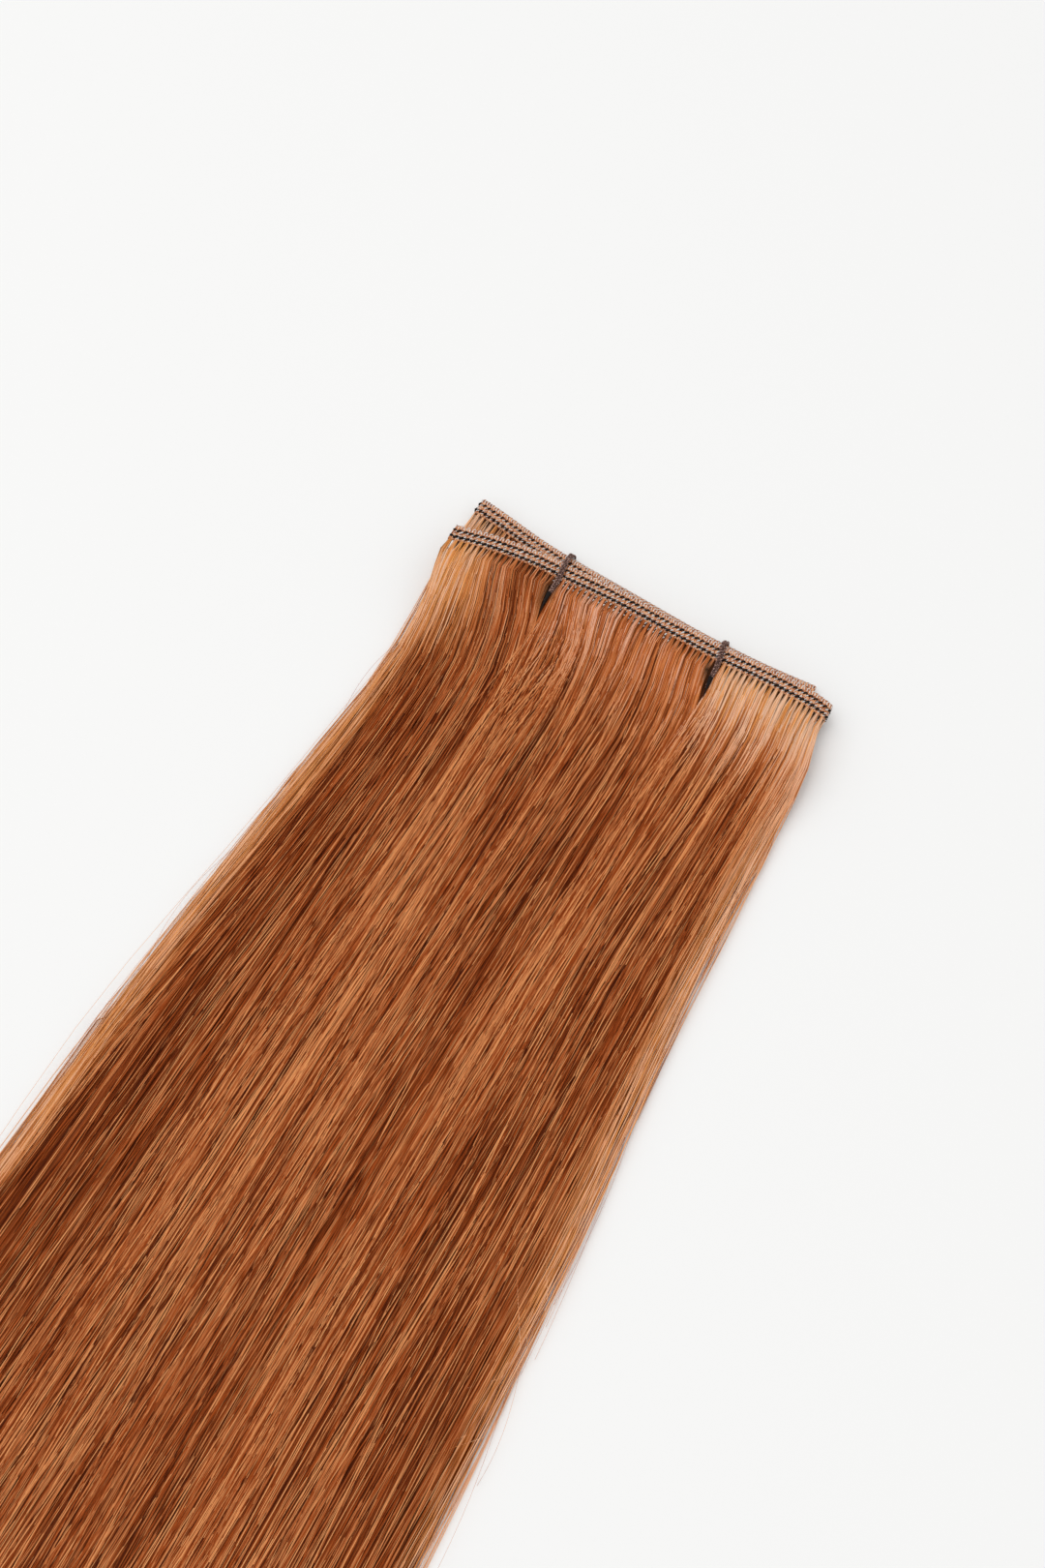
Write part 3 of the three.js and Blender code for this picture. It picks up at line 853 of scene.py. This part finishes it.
class Strands:
    """Strands of one layer, from inside the band to their tips.

    shares says between which places across the layer they are rooted, and depths how deep in it
    they lie. The stitches gather them into tufts, and further down they hang in broad and narrow
    locks. Each also has waves, a thickness and a tone of its own.
    """

    root_depth = 0.22 * MM
    tip_raggedness = 38 * MM
    furrow_depth = 0.12 * MM
    puff_height = 0.25 * MM
    puff_length = 26 * MM

    def __init__(self, weft, number, count, seed, shares, depths):
        sizes = weft.sizes
        rng = np.random.default_rng(seed)
        self.weft, self.number, self.count, self.rng = weft, number, count, rng
        self.locks = np.random.default_rng(number + 50)
        self.share = mix(*shares, (np.arange(count) + rng.random(count)) / count)
        self.depth = mix(*depths, rng.random(count))
        self.proud = rng.uniform(-self.root_depth, self.root_depth, count)
        ragged = self.tip_raggedness * rng.random(count) ** 3
        self.tip_y = lock_ends(weft, LAYERS[number], self.share) + ragged
        self.broad = self.lock_numbers(BROAD_LOCKS, 0.2)
        self.narrow = self.lock_numbers(NARROW_LOCKS, 0.3)
        self.ease = np.linspace(0, 1, STRAND_STEPS + 1) ** STRAND_EASE
        self.down = self.ease * sizes.hair_length
        self.freed = smooth(self.down, 2 * MM, 60 * MM)
        self.spread = mix(*weft.stretch(number), self.share)
        tuft = np.floor(self.spread / sizes.stitch_pitch)
        self.tuft = tuft.astype(int) % TUFT_KINDS
        self.in_tuft = self.spread / sizes.stitch_pitch - tuft - 0.5

    def lock_numbers(self, locks, blur):
        """Which lock each strand hangs in. A few hang in the next one."""
        return np.floor(self.share * locks + self.rng.normal(0, blur, self.count)).astype(int) % locks

    def lock_waves(self, shortest, longest):
        """Waves that the strands of a narrow lock share. The lengths are in millimetres."""
        return waves(self.locks, NARROW_LOCKS, self.down, shortest * MM, longest * MM)[self.narrow]

    def broad_waves(self, shortest, longest):
        return waves(self.locks, BROAD_LOCKS, self.down, shortest * MM, longest * MM)[self.broad]

    def own_waves(self, shortest, longest):
        return waves(self.rng, self.count, self.down, shortest * MM, longest * MM)

    def drift(self):
        """How far each strand strays sideways, and is pulled towards the middle of its lock."""
        down, share = self.down, self.share
        raggedness, most_pulled = 1.2 * MM, 0.4
        broad, narrow = self.broad_waves(170, 420), self.lock_waves(140, 380)
        own = self.own_waves(130, 440)
        pull = self.freed * np.clip(0.06 + 0.1 * self.lock_waves(70, 200), 0, most_pulled)
        from_side = np.minimum(share, 1 - share)
        ragged = raggedness * np.clip(self.rng.normal(0, 1, self.count), -1.4, 1.4)
        ragged = ragged * fade(from_side, 0, 0.03)
        slow = self.own_waves(300, 900) * smooth(from_side, 0, 0.06)[:, None]
        drift = (BROAD_STRAY * broad + NARROW_STRAY * narrow + OWN_STRAY * own) * self.freed
        drift = drift + LONG_STRAY * slow * smooth(down, 10 * MM, 170 * MM)
        lock_middle = (self.narrow + 0.5) / NARROW_LOCKS
        drift = drift + (lock_middle - share)[:, None] * self.weft.sizes.panel_width * pull
        return drift + ragged[:, None] * smooth(down, 30 * MM, 90 * MM)

    def course(self, veer):
        """Where each strand runs. veer is how far it strays to the right, between two limits."""
        weft, sizes, down = self.weft, self.weft.sizes, self.down
        gathered = self.spread - self.in_tuft * sizes.stitch_pitch / 2
        root_x, top, root_z, face_x, face_z = weft.on_ribbon(gathered)
        root_x = root_x + face_x * self.proud
        root_z = root_z + face_z * self.proud
        root_y = top - sizes.upper_margin - sizes.seam_spacing
        open_x = weft.on_ribbon(self.spread)[0]
        near_x = mix(root_x[:, None], open_x[:, None], smooth(down, 0.5 * MM, 4.5 * MM))
        y = root_y[:, None] + (self.tip_y - root_y)[:, None] * self.ease
        x = weft.flow(self.number, self.share[:, None], near_x, y, down) + self.drift()
        x = x + self.rng.uniform(*veer, self.count)[:, None] * smooth(down, 6 * MM, 62 * MM)

        # The hair swells out of the band, and its narrow locks leave furrows. No strand sinks into
        # the table.
        low, high = weft.layer_heights(self.number, x, y)
        self.dive = np.clip(self.depth[:, None] + 0.22 * self.own_waves(80, 240), 0, 1)
        furrow = self.furrow_depth * self.locks.random(NARROW_LOCKS)[self.narrow][:, None] * self.freed
        puff = self.puff_height * np.sin(np.pi * np.clip(down / self.puff_length, 0, 1))
        settled = mix(high, low, self.dive) - furrow + puff
        z = mix(root_z[:, None], settled, smooth(down, 0.3 * MM, 9 * MM))
        if self.number == TOP:
            x, z = part_at_ties(weft, self.share, x, y, z)
        return x, y, np.maximum(z, 0.65 * sizes.strand_diameter)

    def radii(self, rim, slim):
        """Thin at the seam, fine at the tips and at the rim, and different for each strand."""
        taper = 1 - 0.6 * smooth(self.ease, 0.82, 1)
        slender = mix(0.8, 1, smooth(self.down, 0, 10 * MM))
        own_size = slim * self.rng.uniform(0.55, 1.25, self.count)[:, None]
        return self.weft.sizes.strand_diameter / 2 * own_size * taper * slender * (1 - 0.2 * rim)

    def looks(self, x, y, rim, light):
        """Tone, the golden and rosy tints with their painted light, and painted shade along each strand,
        for the hair material.
        """
        down, share = self.down, self.share[:, None]
        broad, narrow = self.broad_waves(120, 400), self.lock_waves(50, 200)
        own = self.rng.normal(0, 1, self.count)[:, None]
        tuft = np.random.default_rng(self.number + 90).normal(0, 1, TUFT_KINDS)[self.tuft][:, None]
        own = mix(0.85 * own + 0.3 * tuft, own, smooth(down, 5 * MM, 34 * MM))

        # Painted golden highlight on the roots on the right and at the far left, a rosy tint with painted
        # sheen on the roots between them, and painted golden light on the rims
        rightness = smooth(share, 0.68, 0.76)
        middling = mix(0.5, 1, smooth(share, 0.28, 0.31)) * fade(share, 0.7, 0.74)
        fade_end = (29 + 7 * np.clip(own, -1.5, 1.5)) * MM
        gold_and_highlight = rightness * fade(down, 6 * MM, fade_end)
        gold_and_highlight = gold_and_highlight + fade(share, 0.04, 0.15) * fade(down, 8 * MM, 44 * MM)
        gold_and_highlight = np.clip(gold_and_highlight + 0.75 * rim * smooth(down, 12 * MM, 60 * MM), 0, 1)
        rose_and_sheen = 0.7 * (middling + 0.7 * rightness) * fade(down, 6 * MM, 42 * MM)

        tone = BASE_TONE + light + OWN_TONE * own + NARROW_TONE * narrow + BROAD_TONE * broad
        # Deeper strands are darker by painted shade
        tone = tone + DEPTH_SHADE_TONE * self.dive + ACROSS_TONE * (share - 0.5)
        # Painted light on the rims, where the hair thins out
        tone = tone + RIM_LIGHT_TONE * rim * smooth(down, 4 * MM, 30 * MM)
        off_rim = 1 - 0.6 * rim * smooth(down, 20 * MM, 60 * MM)
        tone = tone + GOLD_HIGHLIGHT_TONE * gold_and_highlight * off_rim + ROSE_SHEEN_TONE * rose_and_sheen
        # Painted sheen on the roots on the right
        sheen = smooth(down, 6 * MM, 26 * MM) * fade(down, 30 * MM, 80 * MM)
        tone = tone + SHEEN_TONE * rightness * sheen

        # Painted shade in the gaps between the tufts, from 2 to 18 mm long
        gaps = np.random.default_rng(self.number + 70).uniform(1.3, 4.2, TUFT_KINDS) ** 2 * MM
        gaps = gaps[self.tuft][:, None]
        by_gap = smooth(np.abs(self.in_tuft), 0.3, 0.5)[:, None]
        shade = 1 - 0.7 * by_gap * fade(down, 0.4 * gaps, gaps)
        # Painted shade in the pocket left of each tie
        if self.number == TOP:
            shade = shade * pocket_shade(self.weft, x, y)
        return {"tone": tone, "gold_and_highlight": gold_and_highlight, "rose_and_sheen": rose_and_sheen, "shade": shade}


def comb(
    weft, number, count, seed, shares=(0.0, 1.0), depths=(0.0, 0.7), veer=(0.0, 0.0), light=0.0, slim=1.0
):
    """Combs strands of one layer. light makes them lighter, and slim below 1 thinner."""
    strands = Strands(weft, number, count, seed, shares, depths)
    x, y, z = strands.course(veer)
    left, right, _ = weft.sides_at(y)
    rim = fade(right - x, 1 * MM, 8 * MM) + 0.8 * fade(x - left, 1 * MM, 9 * MM)
    radii = strands.radii(rim, slim)
    return strand_bundle(weft, x, y, z, radii, strands.rng, strands.looks(x, y, rim, light))


def flyaways(weft, seed):
    """Single hairs that stand off the two sides, two from each of these places down the hair."""
    sizes = weft.sizes
    rng = np.random.default_rng(seed)
    left_starts = (0.09, 0.15, 0.24, 0.33, 0.42, 0.5, 0.62, 0.75)
    right_starts = (0.12, 0.25, 0.33, 0.44, 0.56, 0.68, 0.8)
    start = np.repeat(left_starts + right_starts, 2)
    count = len(start)
    outward = np.repeat([-1, 1], [2 * len(left_starts), 2 * len(right_starts)])[:, None]
    reach, length = rng.uniform((1, 25), (3.6, 90), (count, 2)).T * MM
    ease = np.linspace(0, 1, 16)
    start = start + rng.normal(0, 0.02, count)
    y = -(start * sizes.hair_length)[:, None] - length[:, None] * ease
    y = np.maximum(y, -sizes.hair_length)
    left, right, _ = weft.sides_at(y)
    bow = reach[:, None] * np.sin(np.pi * ease * rng.uniform(0.55, 1.0, count)[:, None])
    x = np.where(outward > 0, right, left) + outward * (bow - 1.2 * MM)
    z = 0.6 * MM + rng.uniform(0.2, 2.5, count)[:, None] * MM * np.sin(np.pi * ease)
    radii = np.full_like(z, 0.04 * MM)
    return strand_bundle(weft, x, y, z, radii, rng, {"tone": 0.7, "gold_and_highlight": 0, "rose_and_sheen": 0, "shade": 1})


def hair_core(context, weft, number, name):
    """The close-packed hair inside one layer, as one furrowed sheet with a real thickness."""
    layer = LAYERS[number]
    columns, rows = 126, 26
    core, share, along = flat_grid(name, columns, rows)
    inner = mix(0.018, 0.982, share)
    across = mix(*layer["panel"]["across"][[0, -1]], inner)
    root_x, top, _ = weft.band_at(layer["panel"], across)
    root_y = top - weft.sizes.band_height + 0.6 * MM
    tip_y = lock_ends(weft, layer, share) + 16 * MM
    y = mix(root_y, tip_y, along**STRAND_EASE)
    x = weft.flow(number, inner, root_x, y, root_y - y)
    low, high = weft.layer_heights(number, x, y)
    furrow = np.random.default_rng(number + 31).random(columns + 1)[np.round(share * columns).astype(int)]
    low = low + 0.06 * MM
    thickness = np.maximum((high - low) * mix(0.4, 0.62, furrow), 0.12 * MM)
    for tie in TIES:
        centre, passing = weft.tie_passing(tie)
        near = np.exp(-(((x - centre) / (2.2 * MM)) ** 2) - ((y - passing) / (6 * MM)) ** 2)
        thickness = thickness * (1 - 0.8 * near)
    core.data.vertices.foreach_set("co", weft.place(np.stack([x, y, low], axis=1)).ravel())
    thicken(core, thickness)

    # Solidify puts the second side's vertices after the first's, in the same order
    count = len(core.data.vertices)
    # Painted shade: the inner hair is dark all over, and darkest by the band
    looks = {
        "tone": 0.2 + 0.2 * furrow, "gold_and_highlight": np.zeros(1), "rose_and_sheen": np.zeros(1),
        "shade": mix(0.1, 0.7, smooth(-y, 4 * MM, 30 * MM)), "fibre": np.zeros(1),
    }
    for label, values in looks.items():
        attribute = core.data.attributes.new(label, "FLOAT", "POINT")
        attribute.data.foreach_set("value", np.resize(values, count).astype(np.float32))
    uv = core.data.uv_layers.active
    uv.name = "strand"
    flat_uv = np.empty(len(uv.data) * 2, np.float32)
    uv.data.foreach_get("uv", flat_uv)
    strands_across = 520
    flat_uv[0::2] *= strands_across
    flat_uv[1::2] *= weft.sizes.hair_length / (10 * MM)
    uv.data.foreach_set("uv", flat_uv)
    core.data.materials.append(shared_material("copper_human_hair", hair_material, context))
    core.select_set(False)
    return finish_piece(core, HAIR_SLOT, layer["node"])


# Band

def seam_spiral(
    weft, level, swing, stand_off, diameter, phase=0.0, sides=4, steps=8, crowd=0.0, pitch_share=1.0,
    uneven=0.0, span=(0.0, 1.0),
):
    """A thread that winds along the band, through it and back, once for each stitch.

    level is its distance under the top edge. In millimetres, swing is how far it winds up and down
    from there, and stand_off how far it stands off the band's middle. crowd above 0 makes it steep
    on the front, and below 0 flat. uneven is how much thinner it may be in places, and span the
    part of the band that it runs along.
    """
    pitch = weft.sizes.stitch_pitch * pitch_share
    first, last = (math.floor(weft.run[-1] / pitch * share) for share in span)
    angle = 2 * np.pi * np.arange(first * steps, last * steps + 1) / steps
    distance = pitch * (angle - crowd * np.sin(angle) + phase) / (2 * np.pi)
    x, top, z, face_x, face_z = weft.on_ribbon(np.clip(distance, 0, weft.run[-1]))
    out = stand_off * MM * np.cos(angle)
    y = top - level + swing * MM * np.sin(angle)
    points = weft.place(np.stack([x + face_x * out, y, z + face_z * out], axis=1))[None]
    rng = np.random.default_rng(round(1e6 * level) + sides)
    thickness = rng.uniform(1 - uneven, 1, points.shape[:2])
    radii = diameter * MM / 2 * thickness
    return {"points": points, "radii": radii, "sides": sides, "reference": (0, 1, 0)}


class WEFT_OT_stage(bpy.types.Operator):
    """Lays out the pale table, the soft light and the camera"""

    bl_idname = "weft.stage"
    bl_label = "Stage"

    def execute(self, context):
        self.lay_table(context)
        self.place_camera(context)
        for light in LIGHTS:
            self.add_area(context, **light)
        world = bpy.data.worlds.new("white_room")
        context.scene.world = world
        world.use_nodes = True
        background = world.node_tree.nodes["Background"]
        background.inputs["Color"].default_value = (*linear("#FFFFFF"), 1.0)
        background.inputs["Strength"].default_value = ROOM_LIGHT
        context.scene.view_settings.view_transform = "Standard"
        return {"FINISHED"}

    @staticmethod
    def lay_table(context):
        bpy.ops.mesh.primitive_plane_add(size=TABLE_SIZE)
        table = context.active_object
        table.name = "table"
        table.data.materials.append(shared_material("white_matt_board", table_material, context))
        table.select_set(False)

    @staticmethod
    def place_camera(context):
        stage = context.scene.weft_stage
        weft = Weft(context.scene.weft_sizes)
        camera = bpy.data.objects.new("camera", bpy.data.cameras.new("camera"))
        context.scene.collection.objects.link(camera)
        camera.data.sensor_fit = "VERTICAL"
        camera.data.sensor_height = 36
        camera.data.lens = 50
        camera.data.clip_start = 0.01
        camera.rotation_euler = (stage.camera_tilt, 0, stage.camera_turn)
        forward = camera.rotation_euler.to_matrix() @ Vector((0, 0, -1))
        aim = Vector(weft.place(np.array([stage.aim_aside, -stage.aim_down, 0.0])))
        camera.location = aim - forward * stage.camera_distance
        context.scene.camera = camera

    @staticmethod
    def add_area(context, name, place, size, power):
        """A square soft light that faces the weft."""
        light = bpy.data.objects.new(name, bpy.data.lights.new(name, "AREA"))
        context.scene.collection.objects.link(light)
        light.data.shape = "SQUARE"
        light.data.size = size
        light.data.energy = power
        light.location = place
        light.rotation_euler = (-Vector(place)).to_track_quat("-Z", "Y").to_euler()


class WEFT_OT_band(bpy.types.Operator):
    """Makes the band of hair ends under clear film, folded to and fro"""

    bl_idname = "weft.band"
    bl_label = "Band"

    def execute(self, context):
        weft = Weft(context.scene.weft_sizes)
        rib_height, scallop_height = 0.07 * MM, 0.12 * MM
        band, share, under_top = flat_grid("weft_band_ribbon", 1180, 8)
        distance = share * weft.run[-1]
        under_top = under_top * weft.sizes.band_height
        stitches = 2 * np.pi * distance / weft.sizes.stitch_pitch
        x, top, z, face_x, face_z = weft.on_ribbon(distance)
        ribs = rib_height * np.sin(2 * stitches)
        y = top - under_top + scallop_height * np.cos(stitches) * fade(under_top, 0, 1 * MM)
        points = np.stack([x + face_x * ribs, y, z + face_z * ribs], axis=1)
        band.data.vertices.foreach_set("co", weft.place(points).ravel())
        wall = band.modifiers.new("wall", "SOLIDIFY")
        wall.thickness = 0.5 * MM
        wall.offset = 0
        bpy.ops.object.modifier_apply(modifier=wall.name)
        band.data.shade_smooth()
        band.data.materials.append(shared_material("hair_under_clear_film", band_material, context))
        band.select_set(False)
        finish_piece(band, BAND_SLOT, "weft_band")
        return {"FINISHED"}


class WEFT_OT_seams(bpy.types.Operator):
    """Sews the two dark seams and the clear filaments between and above them"""

    bl_idname = "weft.seams"
    bl_label = "Seams"

    def execute(self, context):
        weft = Weft(context.scene.weft_sizes)
        sew = partial(seam_spiral, weft)
        upper = weft.sizes.upper_margin
        lower = upper + weft.sizes.seam_spacing
        dark = [
            sew(upper, 0.32, 0.44, 0.74, sides=6, crowd=-0.32, uneven=0.3),
            sew(upper + 0.1 * MM, 0.2, 0.44, 0.36, phase=3.0, uneven=0.5),
            sew(lower, 0.34, 0.46, 0.8, phase=0.4, sides=6, crowd=-0.32, uneven=0.3),
            sew(lower + 0.1 * MM, 0.24, 0.48, 0.42, phase=3.4, uneven=0.5),
            # Ticks that hang between the tufts: partly the dark seam thread and partly painted shade
            sew(lower + 0.5 * MM, 0.45, 0.36, 0.28, crowd=0.75, uneven=0.8),
        ]
        # Two rows of loops hang out under the lower seam between the ties. Two finer threads
        # cross each other along the top edge.
        loops = {"phase": 0.2, "crowd": 0.8, "uneven": 1, "span": (0.095, 0.2)}
        edging = {"phase": 0.6, "sides": 3, "steps": 6, "pitch_share": 0.5, "uneven": 0.7}
        clear = [
            sew(upper + 0.45 * MM, 0.3, 0.54, 0.56, phase=3.2, uneven=0.7),
            sew(lower - 0.5 * MM, 0.26, 0.5, 0.5, phase=3.6, uneven=0.7),
            sew(lower + 0.4 * MM, 0.26, 0.5, 0.42, phase=3.4, uneven=0.9),
            sew(lower + 1.5 * MM, 0.25, 0.6, 0.4, **loops),
            sew(lower + 2.8 * MM, 0.2, 0.8, 0.36, **loops),
            sew(0.12 * MM, 0.14, 0.36, 0.34, phase=1.0, uneven=0.4),
            sew(0.55 * MM, 0.5, 0.36, 0.36, **edging),
            sew(0.75 * MM, -0.5, 0.36, 0.36, **edging),
            sew((upper + lower) / 2, 0.8, 0.32, 0.16, phase=1.6, uneven=0.7),
        ]
        for name, threads, material in (
            ("seam_thread", dark, shared_material("dark_polyester_seam", seam_material, context)),
            ("clear_filaments", clear, shared_material("clear_nylon_filament", filament_material, context)),
        ):
            finish_piece(tube_object(name, threads, material), BAND_SLOT)
        return {"FINISHED"}


class WEFT_OT_hair_cores(bpy.types.Operator):
    """Fills each layer with its close-packed inner hair"""

    bl_idname = "weft.hair_cores"
    bl_label = "Inner hair"

    def execute(self, context):
        weft = Weft(context.scene.weft_sizes)
        for number, name in enumerate(("bottom_hair_core", "middle_hair_core", "top_hair_core")):
            hair_core(context, weft, number, name)
        return {"FINISHED"}


class WEFT_OT_strands(bpy.types.Operator):
    """Combs the strands of the three layers"""

    bl_idname = "weft.strands"
    bl_label = "Strands"

    def execute(self, context):
        weft = Weft(context.scene.weft_sizes)
        left_tie, right_tie = (tie_share(weft, tie) for tie in TIES)
        pieces = {
            "top_hair_left": [comb(weft, TOP, 940, 1, (0.0, left_tie))],
            "top_hair_middle_a": [comb(weft, TOP, 780, 2, (left_tie, 0.5))],
            "top_hair_middle_b": [comb(weft, TOP, 780, 3, (0.5, right_tie))],
            "top_hair_right": [comb(weft, TOP, 960, 4, (right_tie, 1.0))],
            "loose_hairs": self.loose_hairs(weft, left_tie, right_tie),
            "middle_hair": [
                comb(weft, MIDDLE, 420, 21, depths=(0.0, 0.9)),
                comb(weft, MIDDLE, 170, 23, (0.0, 0.26), (0.0, 0.3), light=0.2),
            ],
            "bottom_hair": [comb(weft, BOTTOM, 420, 22, depths=(0.1, 1.0))],
        }
        material = shared_material("copper_human_hair", hair_material, context)
        for name, bundles in pieces.items():
            finish_piece(tube_object(name, bundles, material), HAIR_SLOT)
        return {"FINISHED"}

    @staticmethod
    def loose_hairs(weft, left_tie, right_tie):
        """Strands crossing the others past each tie, bright ones all over as painted highlights, and
        flyaways.
        """
        past_left, past_right = (left_tie + 0.006, left_tie + 0.13), (right_tie + 0.004, right_tie + 0.06)
        return [
            comb(weft, TOP, 84, 9, past_left, (-0.2, -0.02), (-10 * MM, -2 * MM), 0.22),
            comb(weft, TOP, 44, 10, past_right, (-0.2, -0.02), (-6 * MM, -1 * MM), 0.1),
            # Thin bright strands all over, lightened as painted highlight lines
            comb(weft, TOP, 90, 11, (0.03, 0.97), (-0.12, -0.02), (-9 * MM, 7 * MM), 0.4, 0.5),
            flyaways(weft, 31),
        ]


# Ties

def convex_outline(points):
    """The convex outline of points in a plane, anticlockwise."""
    ordered = sorted(set(points))

    def chain(sequence):
        kept = []
        for p in sequence:
            while len(kept) > 1:
                (ox, oy), (ax, ay) = kept[-2], kept[-1]
                if (ax - ox) * (p[1] - oy) - (ay - oy) * (p[0] - ox) > 0:
                    break
                kept.pop()
            kept.append(p)
        return kept[:-1]

    return chain(ordered) + chain(ordered[::-1])


def tie_line(weft, tie, count):
    """The middle line of a tie round the folded band: y, z, the way out from the band, and length."""
    sizes = weft.sizes
    passing_x, passing_y = weft.tie_passing(tie)
    corners = []
    for layer in LAYERS:
        for x in (tie["across"] * sizes.panel_width / 2, passing_x):
            _, top, middle = (float(v) for v in weft.band_at_x(layer["panel"], x))
            for z in (middle - sizes.band_thickness / 2, middle + sizes.band_thickness / 2):
                corners += [(top, z), (top - sizes.band_height, z), (float(passing_y), z)]
    outline = convex_outline(corners)
    away = sizes.clearance + sizes.thread_diameter / 2
    turn_steps = 8
    loop = []
    for i, corner in enumerate(outline):
        before, after = outline[i - 1], outline[(i + 1) % len(outline)]
        start = math.atan2(-(corner[0] - before[0]), corner[1] - before[1])
        turn = (math.atan2(-(after[0] - corner[0]), after[1] - corner[1]) - start) % (2 * math.pi)
        for step in range(turn_steps + 1):
            angle = start + turn * step / turn_steps
            loop.append((corner[0] + away * math.cos(angle), corner[1] + away * math.sin(angle)))
    loop = np.array(loop + loop[:1])
    run = np.concatenate([[0], np.cumsum(np.hypot(*np.diff(loop, axis=0).T))])
    keep = np.concatenate([[True], np.diff(run) > 0])
    at = np.linspace(0, run[-1], count, endpoint=False)
    y = np.interp(at, run[keep], loop[keep, 0])
    z = np.interp(at, run[keep], loop[keep, 1])
    run_y = np.roll(y, -1) - np.roll(y, 1)
    run_z = np.roll(z, -1) - np.roll(z, 1)
    size = np.hypot(run_y, run_z)
    return y, z, run_z / size, -run_y / size, run[-1]


def tie_cords(weft, tie, line):
    """A tie's two cords, each of two twisted plies. They draw together where they dive."""
    ply_pitch, ply_reach, ply_radius = 1.9 * MM, 0.24 * MM, 0.2 * MM
    sizes = weft.sizes
    y, z, out_y, out_z, length = line
    start = tie["across"] * sizes.panel_width / 2
    top = weft.band_at_x(TOP_PANEL, start)[1]
    passing_y = weft.tie_passing(tie)[1]
    low = sizes.floor_clearance + sizes.thread_diameter
    on_front = smooth(z, low + 1.5 * MM, low + 3 * MM)
    dive = on_front * np.exp(-(((y - passing_y) / (2.4 * MM)) ** 2))
    bow = 0.5 * MM * on_front * np.sin(np.pi * np.clip((top - y) / (top - passing_y), 0, 1))
    x = start + tie["lean"] * (top - y) + bow
    turned = 2 * np.pi * round(length / ply_pitch) * np.arange(len(y)) / len(y)
    bundles = []
    for side, ply in ((-1, 0), (-1, 1), (1, 0), (1, 1)):
        angle = turned + np.pi * ply + side
        apart = side * sizes.thread_diameter / 2 * (0.96 - 0.62 * dive)
        aside = apart + ply_reach * (1 - 0.3 * dive) * np.cos(angle)
        out = ply_reach * np.sin(angle)
        points = weft.place(np.stack([x + aside, y + out_y * out, z + out_z * out], axis=1))
        radii = ply_radius * (1 - 0.3 * dive)
        bundles.append(
            {"points": points[None], "radii": radii[None], "sides": 6, "reference": (1, 0, 0), "closed": True}
        )
    return bundles


def tie_tips(weft, tie, line):
    """A tie's short ends from where it dives, as pointed tubes close together, near black as painted shade.
    """
    y, z = line[:2]
    passing_x, passing_y = weft.tie_passing(tie)
    underside = weft.sizes.floor_clearance + weft.sizes.thread_diameter + 3 * MM
    front_z = z[np.argmin(np.abs(y - passing_y) + 9 * (z < underside))]
    share = np.linspace(0, 1, 9)
    ends = []
    for aside, reach in ((-0.3 * MM, 5.4 * MM), (0.25 * MM, 5.0 * MM), (-0.05 * MM, 6.6 * MM)):
        tip_y = passing_y + 2.0 * MM - reach * share
        tip_x = passing_x + aside * (1 - share) - tie["lean"] * (tip_y - passing_y) + 0.2 * MM
        tip_z = front_z + 0.35 * MM - 0.7 * MM * share**2
        ends.append(np.stack([tip_x, tip_y, tip_z], axis=1))
    radii = np.resize(0.42 * MM * (1 - share**1.5) + 0.03 * MM, (len(ends), len(share)))
    return {"points": weft.place(np.stack(ends)), "radii": radii, "sides": 6, "reference": (0, 0, 1)}


class WEFT_OT_ties(bpy.types.Operator):
    """Draws the two doubled threads round the folded band"""

    bl_idname = "weft.ties"
    bl_label = "Ties"

    def execute(self, context):
        weft = Weft(context.scene.weft_sizes)
        waxed = shared_material("waxed_cotton_thread", tie_material, context)
        # The tie ends take the near-black seam material as painted shade where they dive
        dark = shared_material("dark_polyester_seam", seam_material, context)
        for tie in TIES:
            line = tie_line(weft, tie, 320)
            tips = tube_object(tie["node"] + "_tips", [tie_tips(weft, tie, line)], dark)
            finish_piece(tips, TIE_SLOT)
            cords = tube_object(tie["node"] + "_cords", tie_cords(weft, tie, line), waxed)
            finish_piece(cords, TIE_SLOT, tie["node"])
        return {"FINISHED"}


class WEFT_PT_panel(bpy.types.Panel):
    bl_idname = "WEFT_PT_panel"
    bl_label = "Hair weft"
    bl_space_type = "VIEW_3D"
    bl_region_type = "UI"
    bl_category = "Hair weft"

    def draw(self, context):
        for group in (context.scene.weft_sizes, context.scene.weft_colours, context.scene.weft_stage):
            box = self.layout.box()
            for name in group.__annotations__:
                box.prop(group, name)
        for operator in OPERATORS:
            self.layout.operator(operator.bl_idname)


OPERATORS = (
    WEFT_OT_stage,
    WEFT_OT_band,
    WEFT_OT_seams,
    WEFT_OT_hair_cores,
    WEFT_OT_strands,
    WEFT_OT_ties,
)
GROUPS = (
    ("weft_sizes", WeftSizes),
    ("weft_colours", WeftColours),
    ("weft_stage", WeftStage),
)


def register():
    for name, group in GROUPS:
        bpy.utils.register_class(group)
        setattr(bpy.types.Scene, name, bpy.props.PointerProperty(type=group))
    for operator in OPERATORS:
        bpy.utils.register_class(operator)
    bpy.utils.register_class(WEFT_PT_panel)


def unregister():
    bpy.utils.unregister_class(WEFT_PT_panel)
    for operator in reversed(OPERATORS):
        bpy.utils.unregister_class(operator)
    for name, group in reversed(GROUPS):
        delattr(bpy.types.Scene, name)
        bpy.utils.unregister_class(group)


def main():
    register()
    bpy.ops.weft.stage()
    bpy.ops.weft.band()
    bpy.ops.weft.seams()
    bpy.ops.weft.hair_cores()
    bpy.ops.weft.strands()
    bpy.ops.weft.ties()


if __name__ == "__main__":
    main()
